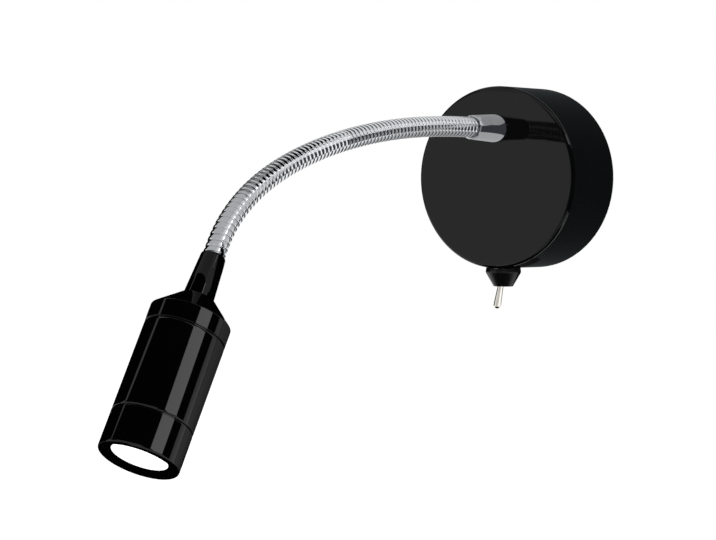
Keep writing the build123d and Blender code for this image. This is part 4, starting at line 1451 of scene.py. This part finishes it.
def head_cards(line: NeckLine) -> list[Card]:
    """Cards close round the head and the neck's end.

    Args:
        line: The neck's line.

    Returns:
        A row behind the head that brightens to its right, a black shade behind its shoulder, two
        rows of grey cards over the neck's end, and grey cards on the right of the collar and of
        the neck's end.
    """
    edges = ((-60.0, 12.0, 0.07), (12.0, 38.0, 0.17), (38.0, 62.0, 0.32), (62.0, 96.0, 0.5))
    cards = [
        Card(
            f"card_behind_head_{number}",
            upright(left, right, -150.0, -170.0, -52.0),
            glow,
            HEAD_MIDDLE,
        )
        for number, (left, right, glow) in enumerate(edges)
    ]
    shade = upright(-70.0, 26.0, -232.0, -54.0, 10.0)
    cards.append(Card("card_behind_shoulder", shade, 0.0, HEAD_MIDDLE))
    clearance, collar_side, neck_side = 10.0, 15.0, 22.0
    centres, headings = line.at(np.array([63.0, 67.0, 71.0, 75.0, 79.0]))
    over = centres + clearance * NeckLine.above(headings)
    for number, (back, front) in enumerate(zip(over, over[1:])):
        for side, left, right, glow in (("left", -9, 10, 0.6), ("right", 10, 22, 0.85)):
            ring = ((left, back), (right, back), (right, front), (left, front))
            strip = tuple((x, y, z) for x, (_, y, z) in ring)
            cards.append(Card(f"card_over_neck_{side}_{number}", strip, glow, tuple(centres[number])))
    mouth, ahead, above = centres[-1], NeckLine.ahead(headings)[-1], NeckLine.above(headings)[-1]
    corners = ((-3.5, 1.0), (-9.5, 10.0), (8.0, 10.0), (14.0, 1.0))
    beside = tuple((collar_side, *(mouth + run * ahead + rise * above)[1:]) for run, rise in corners)
    cards.append(Card("card_beside_collar", beside, 0.8, tuple(mouth)))
    (near, far), headings = line.at(np.array([57.0, 79.0]))
    near_up, far_up = NeckLine.above(headings)
    ends = (near + 12 * near_up, near - 5 * near_up, far - 3 * far_up, far + 12 * far_up)
    aside = tuple((neck_side, y, z) for _, y, z in ends)
    cards.append(Card("card_beside_neck", aside, 0.72, tuple(centres[2])))
    return cards


def base_cards() -> list[Card]:
    """Dark cards round the drum, behind its nut and under the lamp, a grey one before the lever."""
    dusk = (0.85, 0.97, 1.0)
    drum, nut, lever = (0.0, -17.0, 0.0), (0.0, -26.5, -45.0), (0.0, -26.5, -52.0)
    side, rim, spread = 110.0, 62.0, 310.0
    beside = tuple((side, y, z) for y, z in ((-80.0, -rim), (-80.0, rim), (95.0, rim), (95.0, -rim)))
    turns = np.linspace(0, 2 * math.pi, 48, endpoint=False)
    behind = tuple((rim * math.cos(turn), 1.0, rim * math.sin(turn)) for turn in turns)
    under = tuple((spread * math.cos(turn), -120 + spread * math.sin(turn), -318.0) for turn in turns)
    corners = ((-1, -1), (1, -1), (1, 1), (-1, 1))
    before = tuple((21.0 + 13 * a, -61.0 + 9 * a, -52.0 + 18 * b) for a, b in corners)
    before_drum = upright(-28.0, 72.0, -150.0, -48.0, 95.0)
    return [
        Card("card_beside", beside, 0.065, drum, dusk),
        Card("card_before_edge", upright(46.0, side, -80.0, -rim, rim), 0.05, drum),
        Card("card_before_drum", before_drum, 0.15, (0.0, -60.0, 20.0)),
        Card("card_behind", behind, 0.065, drum, dusk),
        Card("card_behind_nut", upright(-40.0, 14.0, -14.0, -51.0, -40.6), 0.02, nut),
        Card("card_under", under, 0.02, (0.0, -120.0, 0.0)),
        Card("card_before_lever", before, 0.72, lever),
    ]


@dataclass(frozen=True)
class Studio:
    """White surroundings, a pale floor and soft light."""

    shade: float = 0.62
    floor_drop: float = -330.0
    floor_size: float = 9000.0
    floor_lines: int = 25
    floor_colour: RGB = (0.88, 0.88, 0.88)
    floor_roughness: float = 0.9
    floor_lift: float = 0.6

    def build(self) -> None:
        """Makes the world, the floor, the panels and the camera."""
        scene = bpy.context.scene
        scene.view_settings.view_transform = "Standard"
        world = bpy.data.worlds.new("studio")
        scene.world = world
        graph = Graph(world)
        white = (1.0, 1.0, 1.0, 1.0)
        soft, full = (
            graph.node("ShaderNodeBackground", inputs={"Color": white, "Strength": level})
            for level in (self.shade, 1.0)
        )
        graph.surface(graph.node("ShaderNodeMixShader", inputs={0: graph.seen(), 1: soft, 2: full}))
        self._floor()
        for staged in (*PANELS, *drum_cards(), *head_cards(NeckLine()), *base_cards()):
            staged.build()
        Camera().build()

    def _floor(self) -> None:
        """Makes the floor, a large flat sheet well under the lamp."""
        half = self.floor_size / 2
        ticks = np.linspace(-half, half, self.floor_lines)
        x, y = np.meshgrid(ticks, ticks, indexing="ij")
        points = np.stack([x, y, np.full_like(x, self.floor_drop)], -1).reshape(-1, 3) * MM
        side = len(ticks)
        faces = [
            (i * side + j, (i + 1) * side + j, (i + 1) * side + j + 1, i * side + j + 1)
            for i in range(side - 1)
            for j in range(side - 1)
        ]
        floor = new_piece("floor", points, faces)
        material = bpy.data.materials.new("floor")
        graph = Graph(material)
        lift = graph.blend(graph.seen(), (0, 0, 0), (self.floor_lift,) * 3)
        graph.principled(
            Base_Color=self.floor_colour,
            Roughness=self.floor_roughness,
            Specular_IOR_Level=0.0,
            Emission_Color=lift,
            Emission_Strength=1.0,
        )
        floor.data.materials.append(material)


def main() -> None:
    """Builds the lamp's looks in order and reports each piece."""
    Studio().build()
    wardrobe = Wardrobe(FINISHES)
    wardrobe.dress_nodes()
    line = NeckLine()
    Hose(line).build(wardrobe)
    NeckLead(line).build(wardrobe)
    LampHead(line).build(wardrobe)
    FerruleCup(line).build(wardrobe)
    DressNut().build(wardrobe)


if __name__ == "__main__":
    main()
